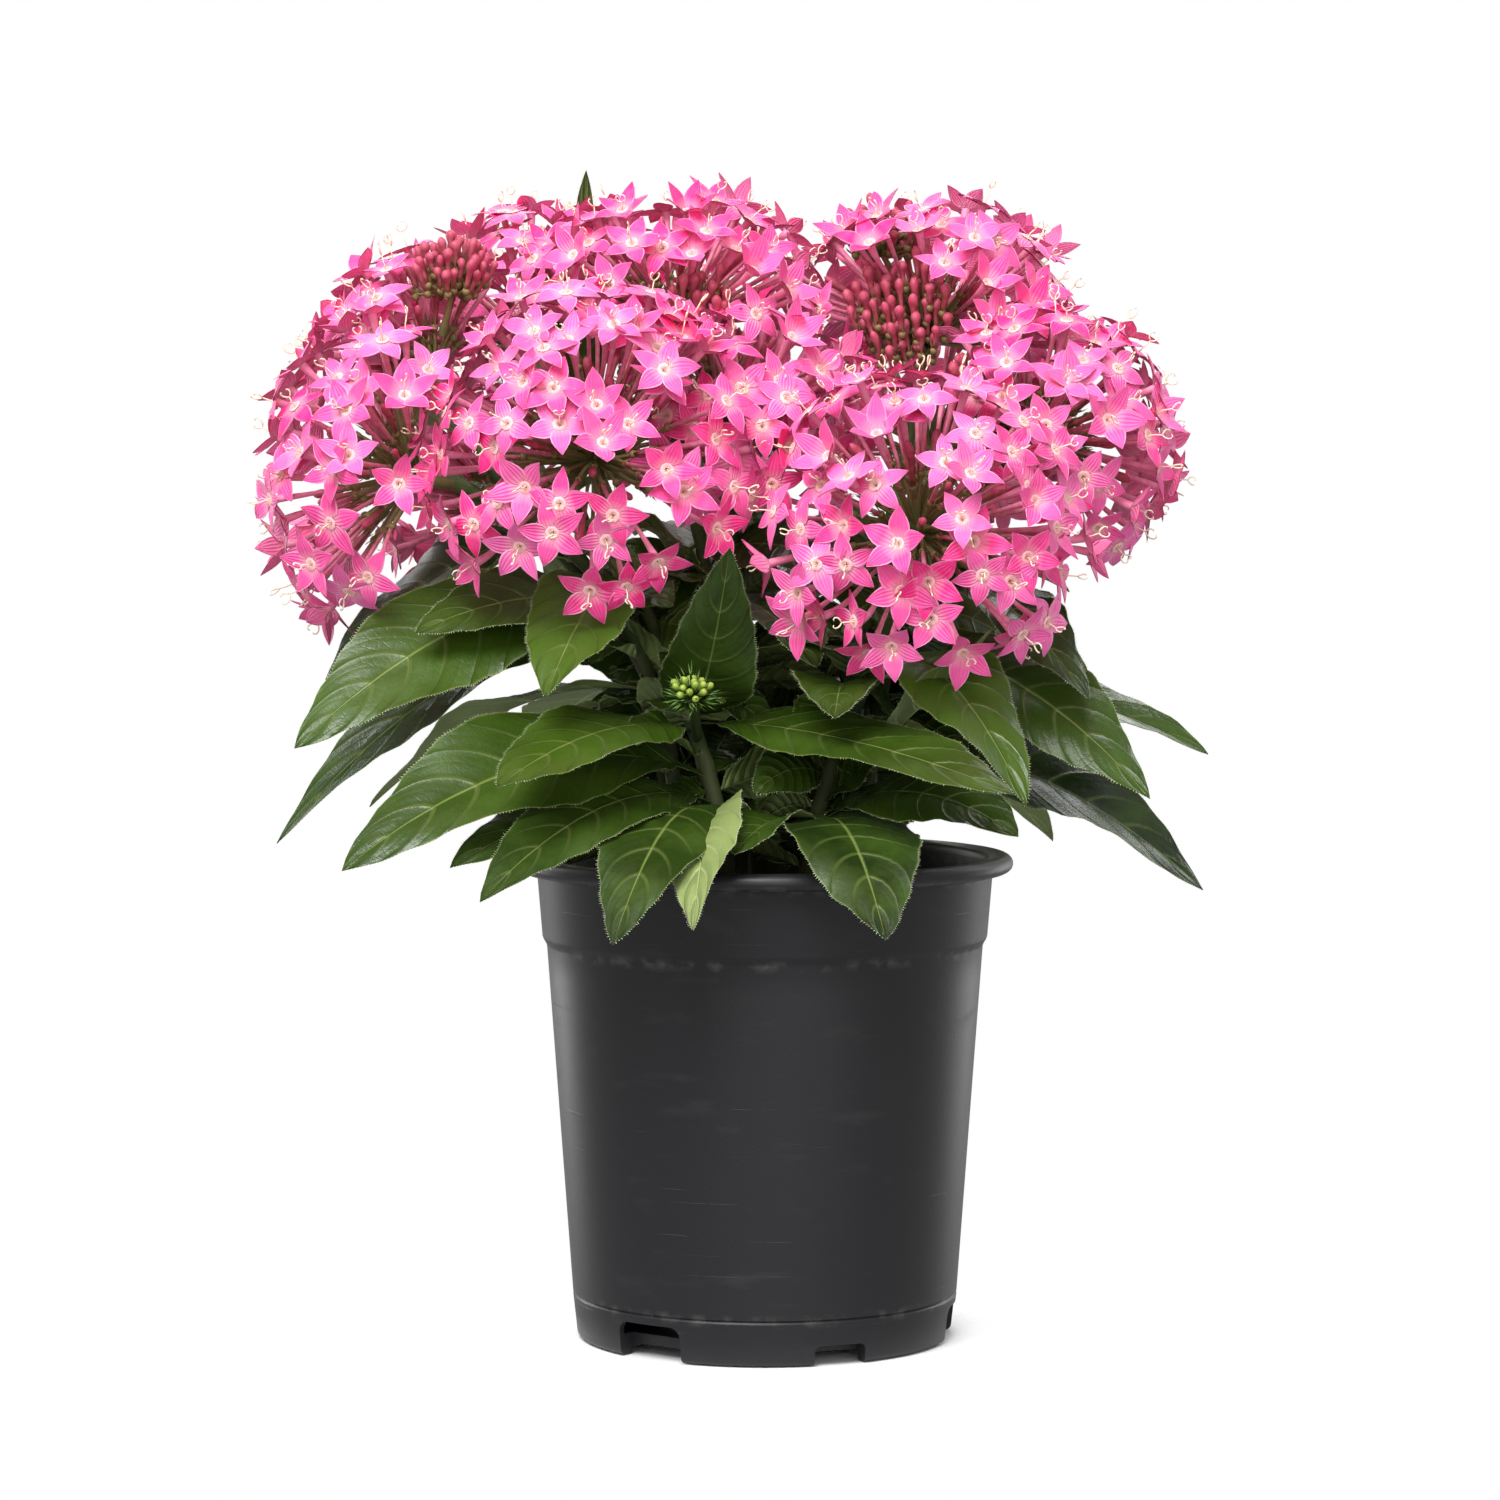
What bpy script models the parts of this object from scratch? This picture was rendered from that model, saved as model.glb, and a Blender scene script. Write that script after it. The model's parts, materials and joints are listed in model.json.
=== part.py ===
# A potted pentas: a black nursery pot, its soil, leafy stems and clusters of star florets.
# Lengths are in millimetres until a mesh is made. Z is up and the viewer of the photo is at -Y.

import math
import random

import bmesh
import bpy
from mathutils import Matrix, Vector, noise
from mathutils.bvhtree import BVHTree

MM = 0.001
GAP = 0.3

# Pot
RIM_RADIUS = 60.0
POT_HEIGHT = 117.0
LIP_HEIGHT = 4.2
LIP_WIDTH = 4.6
COLLAR_TOP_RADIUS = 55.0
COLLAR_FOOT_RADIUS = 53.8
COLLAR_HEIGHT = 19.6
STEP_DEPTH = 1.1
STEP_HEIGHT = 2.4
FOOT_BAND_TOP_RADIUS = 47.1
FOOT_BAND_HEIGHT = 10.4
SEAM_DEPTH = 0.4
SEAM_HEIGHT = 0.8
FOOT_RADIUS = 45.6
FOOT_ROUNDING = 1.5
FOOT_RING_WIDTH = 4.0
FLOOR_UNDERSIDE = 2.5
PAD_RADIUS = 8.0
WALL = 1.4
FLOOR = 1.6
POT_SIDES = 30
NOTCH_COUNT = 6
TALL_NOTCH_WIDTH = 18.0
TALL_NOTCH_HEIGHT = 8.6
SHORT_NOTCH_WIDTH = 13.0
SHORT_NOTCH_HEIGHT = 4.8
FIRST_NOTCH_TURN = -127.0

# Soil
SOIL_TOP = 105.0
SOIL_BUMP = 1.6
HOLE_DEPTH = 16.0
HOLE_CLEARANCE = 0.35

# Stems
STEM_FOOT_RADIUS = 2.3
STEM_TOP_RADIUS = 1.3
STEM_SIDES = 5
STEM_STATIONS = 8

# Flower heads
CORE_RADIUS = 9.0
FLORET_RADIUS = 12.5
NOTCH_RADIUS = 4.9
TUBE_MOUTH_RADIUS = 2.2
PETAL_THICKNESS = 0.8
TUBE_ROOT_RADIUS = 1.1
PETAL_CUP = 1.2
GOLDEN_ANGLE = math.radians(137.508)
BUD_RADIUS = 1.9
BUD_SIDES = 4

# Leaves
LEAF_THICKNESS = 0.8
LEAF_STATIONS = (0.0, 0.15, 0.38, 0.7, 1.0)
LEAF_OUTLINE = (0.09, 0.22, 1.0, 0.86, 0.05)

# Each head: centre of its dome, dome radius, the way it faces (turn from +X, lift), how far
# the florets spread from that direction, and how many there are.
HEADS = {
    "head_far_left": ((-83, -14, 208), 36, (188, 14), 76, 12),
    "head_left_bud": ((-80, 10, 234), 27, (165, 62), 66, 8),
    "head_back_left": ((-56, 50, 238), 33, (125, 70), 78, 11),
    "head_front_left": ((-40, -28, 212), 37, (262, 38), 84, 17),
    "head_top": ((-22, 14, 243), 34, (250, 76), 76, 13),
    "head_centre": ((-4, -10, 218), 27, (275, 40), 74, 9),
    "head_top_right": ((40, 24, 241), 35, (350, 80), 84, 15),
    "head_right": ((64, -4, 216), 31, (325, 36), 84, 13),
    "head_front_right": ((36, -32, 195), 36, (275, 32), 86, 17),
    "head_back": ((-12, 66, 222), 33, (95, 52), 78, 12),
    "head_back_right": ((42, 68, 214), 33, (70, 46), 78, 12),
    "head_back_low": ((-66, 62, 200), 28, (140, 36), 74, 8),
}

# Each leafy stem: where it leaves the soil, and the heads or bud clusters that it carries.
STEMS = {
    "stem_far_left": ((-20, -6), ("head_far_left", "head_left_bud")),
    "stem_front_left": ((-9, -20), ("head_front_left",)),
    "stem_back_left": ((-22, 14), ("head_back_left", "head_back_low")),
    "stem_top": ((-6, 6), ("head_top", "head_centre")),
    "stem_top_right": ((14, 10), ("head_top_right",)),
    "stem_right": ((24, -4), ("head_right",)),
    "stem_front_right": ((10, -21), ("head_front_right",)),
    "stem_back": ((-2, 26), ("head_back",)),
    "stem_back_right": ((18, 26), ("head_back_right",)),
}

# Clusters of unopened buds: the head each one sits on, its direction from the head's centre
# (turn, lift), its distance and its number of buds.
BUDS = {
    "buds_left": ("head_left_bud", (300, 62), 20, 9),
    "buds_top_right": ("head_top_right", (200, 60), 24, 8),
}

# Each leaf: its place along the stem from 0 to 1, its tip, its width, how high it arches
# and how far it rolls about its own length.
LEAVES = {
    "stem_far_left": (
        (0.62, (-108, -58, 146), 31, 9, -40),
        (0.80, (-106, 0, 159), 25, 6, -30),
        (0.50, (-116, -20, 121), 19, 15, -34),
        (0.88, (-100, 27, 208), 20, 4, 10),
        (0.40, (-98, 30, 126), 26, 10, 0),
        (0.70, (-98, 40, 170), 24, 8, 0),
    ),
    "stem_front_left": (
        (0.26, (-96, -72, 119), 33, 13, -34),
        (0.16, (-72, -64, 119), 23, 8, -26),
        (0.36, (-60, -86, 139), 27, 6, -14),
        (0.20, (-64, -84, 113), 24, 10, -22),
        (0.16, (-34, -90, 104), 28, 13, -6),
        (0.14, (-16, -88, 107), 20, 12, 30),
        (0.72, (-50, -64, 158), 28, 8, 0),
        (0.64, (-81, -46, 172), 25, 6, -30),
        (0.38, (56, -80, 137), 27, 4, 16),
        (0.40, (-8, -56, 192), 22, -8, 168),
    ),
    "stem_back_left": (
        (0.24, (-94, 62, 122), 28, 12, 0),
        (0.34, (-62, 98, 130), 28, 12, 0),
        (0.46, (-104, 58, 158), 26, 10, 0),
        (0.58, (-44, 104, 172), 25, 8, 0),
        (0.14, (-44, 26, 122), 26, 8, -50),
        (0.40, (-54, 30, 178), 25, 4, -50),
        (0.78, (-105, 33, 221), 22, 8, 0),
    ),
    "stem_top": (
        (0.56, (12, -44, 164), 26, 6, 0),
        (0.42, (28, -51, 166), 24, 4, 0),
        (0.66, (20, -24, 186), 24, 4, 30),
        (0.74, (-54, 31, 200), 22, 8, 0),
        (0.78, (14, 50, 206), 22, 8, 0),
        (0.22, (18, 42, 155), 27, 6, 30),
        (0.50, (-26, 43, 179), 27, 6, -20),
        (0.68, (-42, -2, 163), 26, 4, -30),
        (0.30, (-49, 14, 138), 27, 8, -55),
        (0.44, (-52, 8, 166), 26, 4, -55),
    ),
    "stem_top_right": (
        (0.50, (84, 34, 152), 25, 8, 20),
        (0.60, (12, 44, 184), 24, 8, 0),
        (0.78, (84, 54, 206), 22, 8, 0),
        (0.28, (84, 54, 124), 27, 12, 0),
        (0.66, (24, -4, 174), 27, 4, 10),
        (0.38, (54, 12, 150), 26, 6, 55),
        (0.12, (46, 20, 124), 26, 8, 50),
        (0.24, (13, 36, 133), 26, 4, -50),
        (0.40, (2, 36, 166), 26, 4, -50),
    ),
    "stem_right": (
        (0.50, (90, -38, 133), 29, 10, 30),
        (0.60, (86, 12, 136), 31, 12, 42),
        (0.40, (107, 0, 141), 24, 8, 26),
        (0.26, (107, 12, 107), 29, 12, 36),
        (0.72, (76, -34, 156), 22, 6, 10),
    ),
    "stem_front_right": (
        (0.20, (58, -62, 126), 27, 8, 24),
        (0.58, (60, -59, 133), 26, 14, 10),
        (0.16, (27, -90, 105), 32, 12, 0),
        (0.14, (-7, -64, 122), 21, 6, 0),
        (0.46, (16, -60, 153), 24, 8, 0),
        (0.34, (53, -42, 173), 22, -4, 10),
    ),
    "stem_back": (
        (0.20, (-26, 100, 112), 27, 13, 0),
        (0.38, (-22, 106, 148), 26, 10, 0),
        (0.46, (22, 104, 156), 25, 10, 0),
        (0.66, (-34, 98, 192), 24, 8, 0),
        (0.56, (16, 40, 179), 27, 6, 20),
        (0.62, (-21, 48, 168), 26, 6, -55),
        (0.16, (-32, 40, 148), 26, 4, -50),
    ),
    "stem_back_right": (
        (0.18, (34, 100, 112), 27, 13, 0),
        (0.24, (74, 74, 114), 28, 13, 0),
        (0.42, (86, 70, 146), 27, 10, 0),
        (0.58, (66, 96, 168), 25, 8, 0),
        (0.68, (78, 74, 178), 23, 8, 0),
        (0.32, (45, 55, 142), 27, 6, 55),
    ),
}

# The leaf that stands up between the top heads. It is placed before their florets.
TOP_LEAF_STEM = "stem_back_left"
TOP_LEAF = (0.84, (-44, 30, 283), 14, -4, 0)

# The small green rosette of unopened buds in the middle: its stem, its centre, its size.
ROSETTE_STEM = "stem_front_left"
ROSETTE_PLACE = 0.34
ROSETTE_CENTRE = (-17, -52, 157)
ROSETTE_RADIUS = 5.0

COLOURS = {
    "pot": ((0.016, 0.016, 0.017), 0.42),
    "soil": ((0.035, 0.022, 0.014), 0.95),
    "petal": ((0.86, 0.09, 0.38), 0.55),
    "bud": ((0.50, 0.04, 0.11), 0.6),
    "leaf": ((0.045, 0.12, 0.03), 0.5),
}


def clear_scene():
    for obj in list(bpy.data.objects):
        bpy.data.objects.remove(obj)


def material(name):
    colour, roughness = COLOURS[name]
    made = bpy.data.materials.get(name) or bpy.data.materials.new(name)
    made.use_nodes = True
    shader = made.node_tree.nodes["Principled BSDF"]
    shader.inputs["Base Color"].default_value = (*colour, 1.0)
    shader.inputs["Roughness"].default_value = roughness
    shader.inputs["Metallic"].default_value = 0.0
    return made


def mesh_object(name, points, faces, paint, smooth=False):
    """An object from points in millimetres, its faces turned outwards."""
    mesh = bpy.data.meshes.new(name)
    mesh.from_pydata([tuple(c * MM for c in p) for p in points], [], faces)
    shape = bmesh.new()
    shape.from_mesh(mesh)
    bmesh.ops.recalc_face_normals(shape, faces=shape.faces)
    shape.to_mesh(mesh)
    shape.free()
    obj = bpy.data.objects.new(name, mesh)
    bpy.context.scene.collection.objects.link(obj)
    obj.data.materials.append(material(paint))
    if smooth:
        for face in mesh.polygons:
            face.use_smooth = True
    return obj


def boolean(obj, operation, others, solver):
    """Joins the others to the object, or cuts them from it, and removes them."""
    group = bpy.data.collections.new(obj.name + "_parts")
    bpy.context.scene.collection.children.link(group)
    for other in others:
        for holder in list(other.users_collection):
            holder.objects.unlink(other)
        group.objects.link(other)
    step = obj.modifiers.new("join", "BOOLEAN")
    step.operation = operation
    step.operand_type = "COLLECTION"
    step.collection = group
    step.solver = solver
    graph = bpy.context.evaluated_depsgraph_get()
    made = bpy.data.meshes.new_from_object(obj.evaluated_get(graph))
    obj.modifiers.clear()
    obj.data = made
    for other in others:
        bpy.data.objects.remove(other)
    bpy.data.collections.remove(group)
    return obj


def keep_main_body(obj):
    """Drops loose scraps and the walls of sealed hollows, which fills them."""
    shape = bmesh.new()
    shape.from_mesh(obj.data)
    unseen = set(shape.verts)
    bodies = []
    while unseen:
        front = [unseen.pop()]
        body = list(front)
        while front:
            vertex = front.pop()
            for edge in vertex.link_edges:
                other = edge.other_vert(vertex)
                if other in unseen:
                    unseen.remove(other)
                    front.append(other)
                    body.append(other)
        bodies.append(body)
    bodies.sort(key=len, reverse=True)
    for body in bodies[1:]:
        bmesh.ops.delete(shape, geom=body, context="VERTS")
    shape.to_mesh(obj.data)
    shape.free()
    return obj


def direction(turn, lift):
    turn, lift = math.radians(turn), math.radians(lift)
    return Vector((math.cos(turn) * math.cos(lift), math.sin(turn) * math.cos(lift), math.sin(lift)))


def frame_along(axis):
    """A turn whose Z is the given axis."""
    return axis.to_track_quat("Z", "Y").to_matrix()


def tree_of(points, faces):
    return BVHTree.FromPolygons(points, faces)


def crosses(points, faces, trees):
    mine = tree_of(points, faces)
    return any(mine.overlap(other) for other in trees)


# Pot and soil

def pot_profile():
    """Outer wall from the foot up, over the lip and down inside, as (radius, height)."""
    step = POT_HEIGHT - COLLAR_HEIGHT
    lip = POT_HEIGHT - LIP_HEIGHT
    inner_top = COLLAR_TOP_RADIUS - WALL
    outer = [
        (FOOT_RADIUS - FOOT_ROUNDING, 0.0),
        (FOOT_RADIUS, FOOT_ROUNDING),
        (FOOT_BAND_TOP_RADIUS - 0.6, FOOT_BAND_HEIGHT),
        (FOOT_BAND_TOP_RADIUS - 0.6 - SEAM_DEPTH, FOOT_BAND_HEIGHT + SEAM_HEIGHT / 2),
        (FOOT_BAND_TOP_RADIUS - 0.5, FOOT_BAND_HEIGHT + SEAM_HEIGHT),
        (COLLAR_FOOT_RADIUS - STEP_DEPTH, step - STEP_HEIGHT),
        (COLLAR_FOOT_RADIUS, step),
        (COLLAR_TOP_RADIUS, lip),
        (RIM_RADIUS - 0.5, lip),
        (RIM_RADIUS, lip + 0.9),
        (RIM_RADIUS - 0.3, POT_HEIGHT - 0.6),
        (RIM_RADIUS - 1.2, POT_HEIGHT),
        (RIM_RADIUS - LIP_WIDTH - 0.6, POT_HEIGHT - 0.2),
        (inner_top, POT_HEIGHT - 2.0),
        (COLLAR_FOOT_RADIUS - WALL, step),
        (COLLAR_FOOT_RADIUS - STEP_DEPTH - WALL, step - STEP_HEIGHT),
        (FOOT_RADIUS - WALL + 0.2, FLOOR_UNDERSIDE + FLOOR + 1.0),
    ]
    return outer


def lathe(name, profile, sides, paint, pads=()):
    """Turns a profile of (radius, height) about Z; it starts and ends on the axis."""
    points, faces = [], []
    rings = []
    for radius, height in profile:
        if radius == 0.0:
            rings.append([len(points)])
            points.append(Vector((0.0, 0.0, height)))
            continue
        rings.append(range(len(points), len(points) + sides))
        for side in range(sides):
            angle = math.tau * (side + 0.5) / sides
            points.append(Vector((radius * math.cos(angle), radius * math.sin(angle), height)))
    for low, high in zip(rings, rings[1:]):
        for side in range(sides):
            after = (side + 1) % sides
            if len(low) == 1:
                faces.append((low[0], high[after], high[side]))
            elif len(high) == 1:
                faces.append((low[side], low[after], high[0]))
            else:
                faces.append((low[side], low[after], high[after], high[side]))
    return mesh_object(name, points, faces, paint, smooth=True)


def make_pot():
    """The pot: a foot ring and a small flat pad in its middle stand on the ground."""
    ring = FOOT_RADIUS - FOOT_RING_WIDTH
    profile = [(0.0, 0.0), (PAD_RADIUS, 0.0), (PAD_RADIUS + 1.5, FLOOR_UNDERSIDE),
               (ring - 1.0, FLOOR_UNDERSIDE), (ring, 0.0)]
    profile += pot_profile()
    profile += [(0.0, FLOOR_UNDERSIDE + FLOOR)]
    pot = lathe("pot", profile, POT_SIDES, "pot")
    cutters = []
    for index in range(NOTCH_COUNT):
        tall = index % 2 == 0
        width = TALL_NOTCH_WIDTH if tall else SHORT_NOTCH_WIDTH
        height = TALL_NOTCH_HEIGHT if tall else SHORT_NOTCH_HEIGHT
        turn = math.tau * index / NOTCH_COUNT + math.radians(FIRST_NOTCH_TURN)
        cutters.append(notch_cutter(width, height, turn))
    return boolean(pot, "DIFFERENCE", cutters, "EXACT")


def notch_cutter(width, height, turn):
    """A block through the foot of the wall, its upper corners cut off."""
    half = width / 2
    chamfer = 0.35 * height
    outline = [(-half, -1.0), (half, -1.0), (half, height - chamfer), (half - chamfer, height),
               (chamfer - half, height), (-half, height - chamfer)]
    near = FOOT_RADIUS - FOOT_RING_WIDTH - 1.5
    far = FOOT_RADIUS + 4.0
    spin = Matrix.Rotation(turn, 3, "Z")
    points = [spin @ Vector((reach, across, up)) for reach in (near, far) for across, up in outline]
    count = len(outline)
    faces = [tuple(range(count)), tuple(range(count, 2 * count))]
    faces += [(i, (i + 1) % count, (i + 1) % count + count, i + count) for i in range(count)]
    cutter = mesh_object("notch_cutter", points, faces, "pot")
    cutter.hide_render = True
    cutter.display_type = "WIRE"
    return cutter


def make_soil(feet):
    """Soil that fills the pot, uneven on top, with a plain hole for each stem."""
    step = POT_HEIGHT - COLLAR_HEIGHT
    wall_foot = FOOT_RADIUS - WALL + 0.2 - 1.5
    shoulder = COLLAR_FOOT_RADIUS - STEP_DEPTH - WALL - 1.0
    top = shoulder + 1.4
    profile = [(0.0, 12.0), (wall_foot - 1.0, 12.0), (shoulder, step - STEP_HEIGHT),
               (top, step + 1.0), (top + 0.2, SOIL_TOP), (0.8 * top, SOIL_TOP), (0.55 * top, SOIL_TOP),
               (0.25 * top, SOIL_TOP), (0.0, SOIL_TOP)]
    soil = lathe("soil", profile, 16, "soil")
    for vertex in soil.data.vertices:
        place = vertex.co / MM
        if place.z > SOIL_TOP - 0.1:
            vertex.co.z += SOIL_BUMP * noise.noise(place * 0.11) * 2.0 * MM
    cutters = [hole_cutter(foot) for foot in feet]
    return keep_main_body(boolean(soil, "DIFFERENCE", cutters, "EXACT"))


def hole_cutter(foot):
    radius = (STEM_FOOT_RADIUS + HOLE_CLEARANCE) / math.cos(math.pi / 8)
    points, sides = [], 8
    for height in (SOIL_TOP - HOLE_DEPTH, SOIL_TOP + 8.0):
        for side in range(sides):
            angle = math.tau * side / sides
            points.append(Vector((foot[0] + radius * math.cos(angle),
                                  foot[1] + radius * math.sin(angle), height)))
    faces = [tuple(range(sides)), tuple(range(sides, 2 * sides))]
    faces += [(i, (i + 1) % sides, (i + 1) % sides + sides, i + sides) for i in range(sides)]
    cutter = mesh_object("hole_cutter", points, faces, "soil")
    cutter.hide_render = True
    cutter.display_type = "WIRE"
    return cutter


# Stems

def curve_point(a, b, c, d, t):
    """A point of the cubic curve with ends a and d and handles b and c."""
    s = 1.0 - t
    return a * s**3 + b * 3 * s * s * t + c * 3 * s * t * t + d * t**3


def stem_path(foot, head):
    """Points from the hole in the soil to just under a head's core."""
    centre, radius, facing, spread, count = HEADS[head]
    axis = direction(*facing)
    start = Vector((foot[0], foot[1], SOIL_TOP - HOLE_DEPTH + GAP + 0.2))
    lift = Vector((foot[0], foot[1], SOIL_TOP + 4.0))
    end = Vector(centre) - axis * (CORE_RADIUS + GAP)
    reach = (end - lift).length
    path = [start]
    for index in range(STEM_STATIONS):
        t = index / (STEM_STATIONS - 1)
        path.append(curve_point(lift, lift + Vector((0, 0, 0.35 * reach)),
                                end - axis * 0.4 * reach, end, t))
    return path


def along(path, t):
    """The point at the share t of a path's length above the soil."""
    place = 1 + t * (len(path) - 2)
    low = min(int(place), len(path) - 2)
    return path[low].lerp(path[low + 1], place - low)


def sweep(path, radii, sides):
    """A round bar along a path: its points and faces."""
    points, faces = [], []
    side_way = Vector((0.0, 1.0, 0.0))
    for index, place in enumerate(path):
        before = path[max(index - 1, 0)]
        after = path[min(index + 1, len(path) - 1)]
        ahead = (after - before).normalized()
        side_way = (side_way - ahead * side_way.dot(ahead)).normalized()
        other_way = ahead.cross(side_way)
        for side in range(sides):
            angle = math.tau * side / sides
            points.append(place + radii[index] * (math.cos(angle) * side_way
                                                  + math.sin(angle) * other_way))
    for index in range(len(path) - 1):
        for side in range(sides):
            after = (side + 1) % sides
            low, high = index * sides, (index + 1) * sides
            faces.append((low + side, low + after, high + after, high + side))
    last = (len(path) - 1) * sides
    faces.append(tuple(reversed(range(sides))))
    faces.append(tuple(range(last, last + sides)))
    return points, faces


def stem_shapes(name):
    """The bars of one leafy stem: the main one, and a branch for each further head."""
    foot, heads = STEMS[name]
    shapes = []
    main = stem_path(foot, heads[0])
    for index, head in enumerate(heads):
        path = main if index == 0 else branch_path(main, head)
        count = len(path)
        thick = STEM_FOOT_RADIUS if index == 0 else 1.7
        radii = [thick + (STEM_TOP_RADIUS - thick) * i / (count - 1) for i in range(count)]
        shapes.append((path, sweep(path, radii, STEM_SIDES)))
    return shapes


def branch_path(main, head):
    """A branch that leaves a stem part way up and ends under another head."""
    centre, radius, facing, spread, count = HEADS[head]
    axis = direction(*facing)
    start = along(main, 0.42)
    ahead = (along(main, 0.55) - start).normalized()
    end = Vector(centre) - axis * (CORE_RADIUS + GAP)
    reach = (end - start).length
    return [curve_point(start, start + ahead * 0.3 * reach, end - axis * 0.35 * reach, end, i / 6)
            for i in range(7)]


# Leaves

def leaf_shape(base, tip, width, arch, roll):
    """A pointed blade that arches from its base to its tip, split alike on both faces."""
    base, tip = Vector(base), Vector(tip)
    middle = base.lerp(tip, 0.45) + Vector((0, 0, arch * 2.0))
    points, faces = [], []
    for station, share in zip(LEAF_STATIONS, LEAF_OUTLINE):
        place = base.lerp(middle, station).lerp(middle.lerp(tip, station), station)
        ahead = (middle - base).lerp(tip - middle, station).normalized()
        across = ahead.cross(Vector((0, 0, 1)))
        if across.length < 0.2:
            across = ahead.cross(Vector((tip.x - base.x, tip.y - base.y, 0.3)))
        across = Matrix.Rotation(math.radians(roll), 3, ahead) @ across.normalized()
        up = across.cross(ahead)
        half = share * width / 2
        for side in (-1, 0, 1):
            edge = place + across * side * half + up * (0.22 * half * abs(side))
            points.append(edge + up * LEAF_THICKNESS / 2)
            points.append(edge - up * LEAF_THICKNESS / 2)
    count = len(LEAF_STATIONS)
    for row in range(count - 1):
        for column in (0, 1):
            a = (row * 3 + column) * 2
            b, c, d = a + 2, a + 8, a + 6
            corners = ((a, b, c), (a, c, d)) if column else ((a, b, d), (b, c, d))
            for one, two, three in corners:
                faces.append((one, two, three))
                faces.append((three + 1, two + 1, one + 1))
    for row in range(count - 1):
        for column in (0, 2):
            a = (row * 3 + column) * 2
            faces.append((a, a + 1, a + 7))
            faces.append((a, a + 7, a + 6))
    last = (count - 1) * 6
    for start in (0, last):
        for column in (0, 1):
            a = start + column * 2
            faces.append((a, a + 1, a + 3))
            faces.append((a, a + 3, a + 2))
    return points, faces


# Florets and buds

def floret_shape(root, face, spin, cup=PETAL_CUP):
    """A star of five pointed petals on a slender tube that starts at the root."""
    axis = (face - root).normalized()
    turn = frame_along(axis) @ Matrix.Rotation(spin, 3, "Z")
    length = (face - root).length
    points, faces = [], []

    def put(radius, angle, height):
        points.append(root + turn @ Vector((radius * math.cos(angle), radius * math.sin(angle),
                                            height)))
        return len(points) - 1

    step = math.tau / 5
    tips = [put(FLORET_RADIUS, k * step, length + cup) for k in range(5)]
    notches = [put(NOTCH_RADIUS, (k + 0.5) * step, length) for k in range(5)]
    low_tips = [put(FLORET_RADIUS, k * step, length + cup - PETAL_THICKNESS) for k in range(5)]
    low_notches = [put(TUBE_MOUTH_RADIUS, (k + 0.5) * step, length - 2.0) for k in range(5)]
    foot = [put(TUBE_ROOT_RADIUS, (k + 0.5) * step, 0.0) for k in range(5)]
    throat = put(0.0, 0.0, length - 0.8)
    for k in range(5):
        before = (k - 1) % 5
        faces.append((notches[before], tips[k], notches[k]))
        faces.append((throat, notches[before], notches[k]))
        faces.append((notches[k], tips[k], low_tips[k]))
        faces.append((notches[k], low_tips[k], low_notches[k]))
        faces.append((tips[k], notches[before], low_notches[before]))
        faces.append((tips[k], low_notches[before], low_tips[k]))
        faces.append((low_tips[k], low_notches[before], low_notches[k]))
        faces.append((low_notches[k], low_notches[before], foot[before]))
        faces.append((low_notches[k], foot[before], foot[k]))
    faces.append(tuple(foot))
    return points, faces


def bud_shape(root, tip, radius):
    """A club: a thin stalk that swells to a blunt bud."""
    path = [root.lerp(tip, t) for t in (0.0, 0.45, 0.75, 1.0)]
    return sweep(path, [radius * s for s in (0.5, 0.6, 1.0, 0.35)], BUD_SIDES)


def ball_shape(centre, radius, rings, sides, axis=Vector((0, 0, 1))):
    """A faceted ball with its poles on the given axis."""
    turn = frame_along(axis)
    points, faces = [centre - radius * axis], []
    for ring in range(1, rings + 1):
        angle = math.pi * ring / (rings + 1)
        for side in range(sides):
            around = math.tau * (side + 0.5 * (ring % 2)) / sides
            points.append(centre + radius * (turn @ Vector((math.sin(angle) * math.cos(around),
                                                            math.sin(angle) * math.sin(around),
                                                            -math.cos(angle)))))
    points.append(centre + radius * axis)
    top = len(points) - 1
    for side in range(sides):
        after = (side + 1) % sides
        faces.append((0, 1 + after, 1 + side))
        for ring in range(rings - 1):
            low = 1 + ring * sides
            high = low + sides
            faces.append((low + side, low + after, high + after))
            faces.append((low + side, high + after, high + side))
        last = 1 + (rings - 1) * sides
        faces.append((last + side, last + after, top))
    return points, faces


def spiral(axis, spread, count, start):
    """Directions spread evenly over a cap about the axis."""
    turn = frame_along(axis)
    widest = 1.0 - math.cos(math.radians(spread))
    for index in range(count):
        height = 1.0 - widest * (index + 0.5) / count
        flat = math.sqrt(1.0 - height * height)
        angle = start + index * GOLDEN_ANGLE
        yield turn @ Vector((flat * math.cos(angle), flat * math.sin(angle), height))


def head_shapes(name, taken):
    """The core and the florets of a head. A floret that would cross another node is left out."""
    centre, radius, facing, spread, count = HEADS[name]
    centre = Vector(centre)
    draw = random.Random(name)
    shapes = []
    for index, way in enumerate(spiral(direction(*facing), spread, count, draw.uniform(0, 6.28))):
        reach = radius * (1.0 + 0.07 * ((index % 3) - 1))
        face = centre + way * reach
        root = centre + way * 0.55 * CORE_RADIUS
        shape = floret_shape(root, face, draw.uniform(0, 1.25), PETAL_CUP + draw.uniform(-1.6, 1.0))
        if not crosses(*shape, taken):
            shapes.append(shape)
    return shapes


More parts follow.
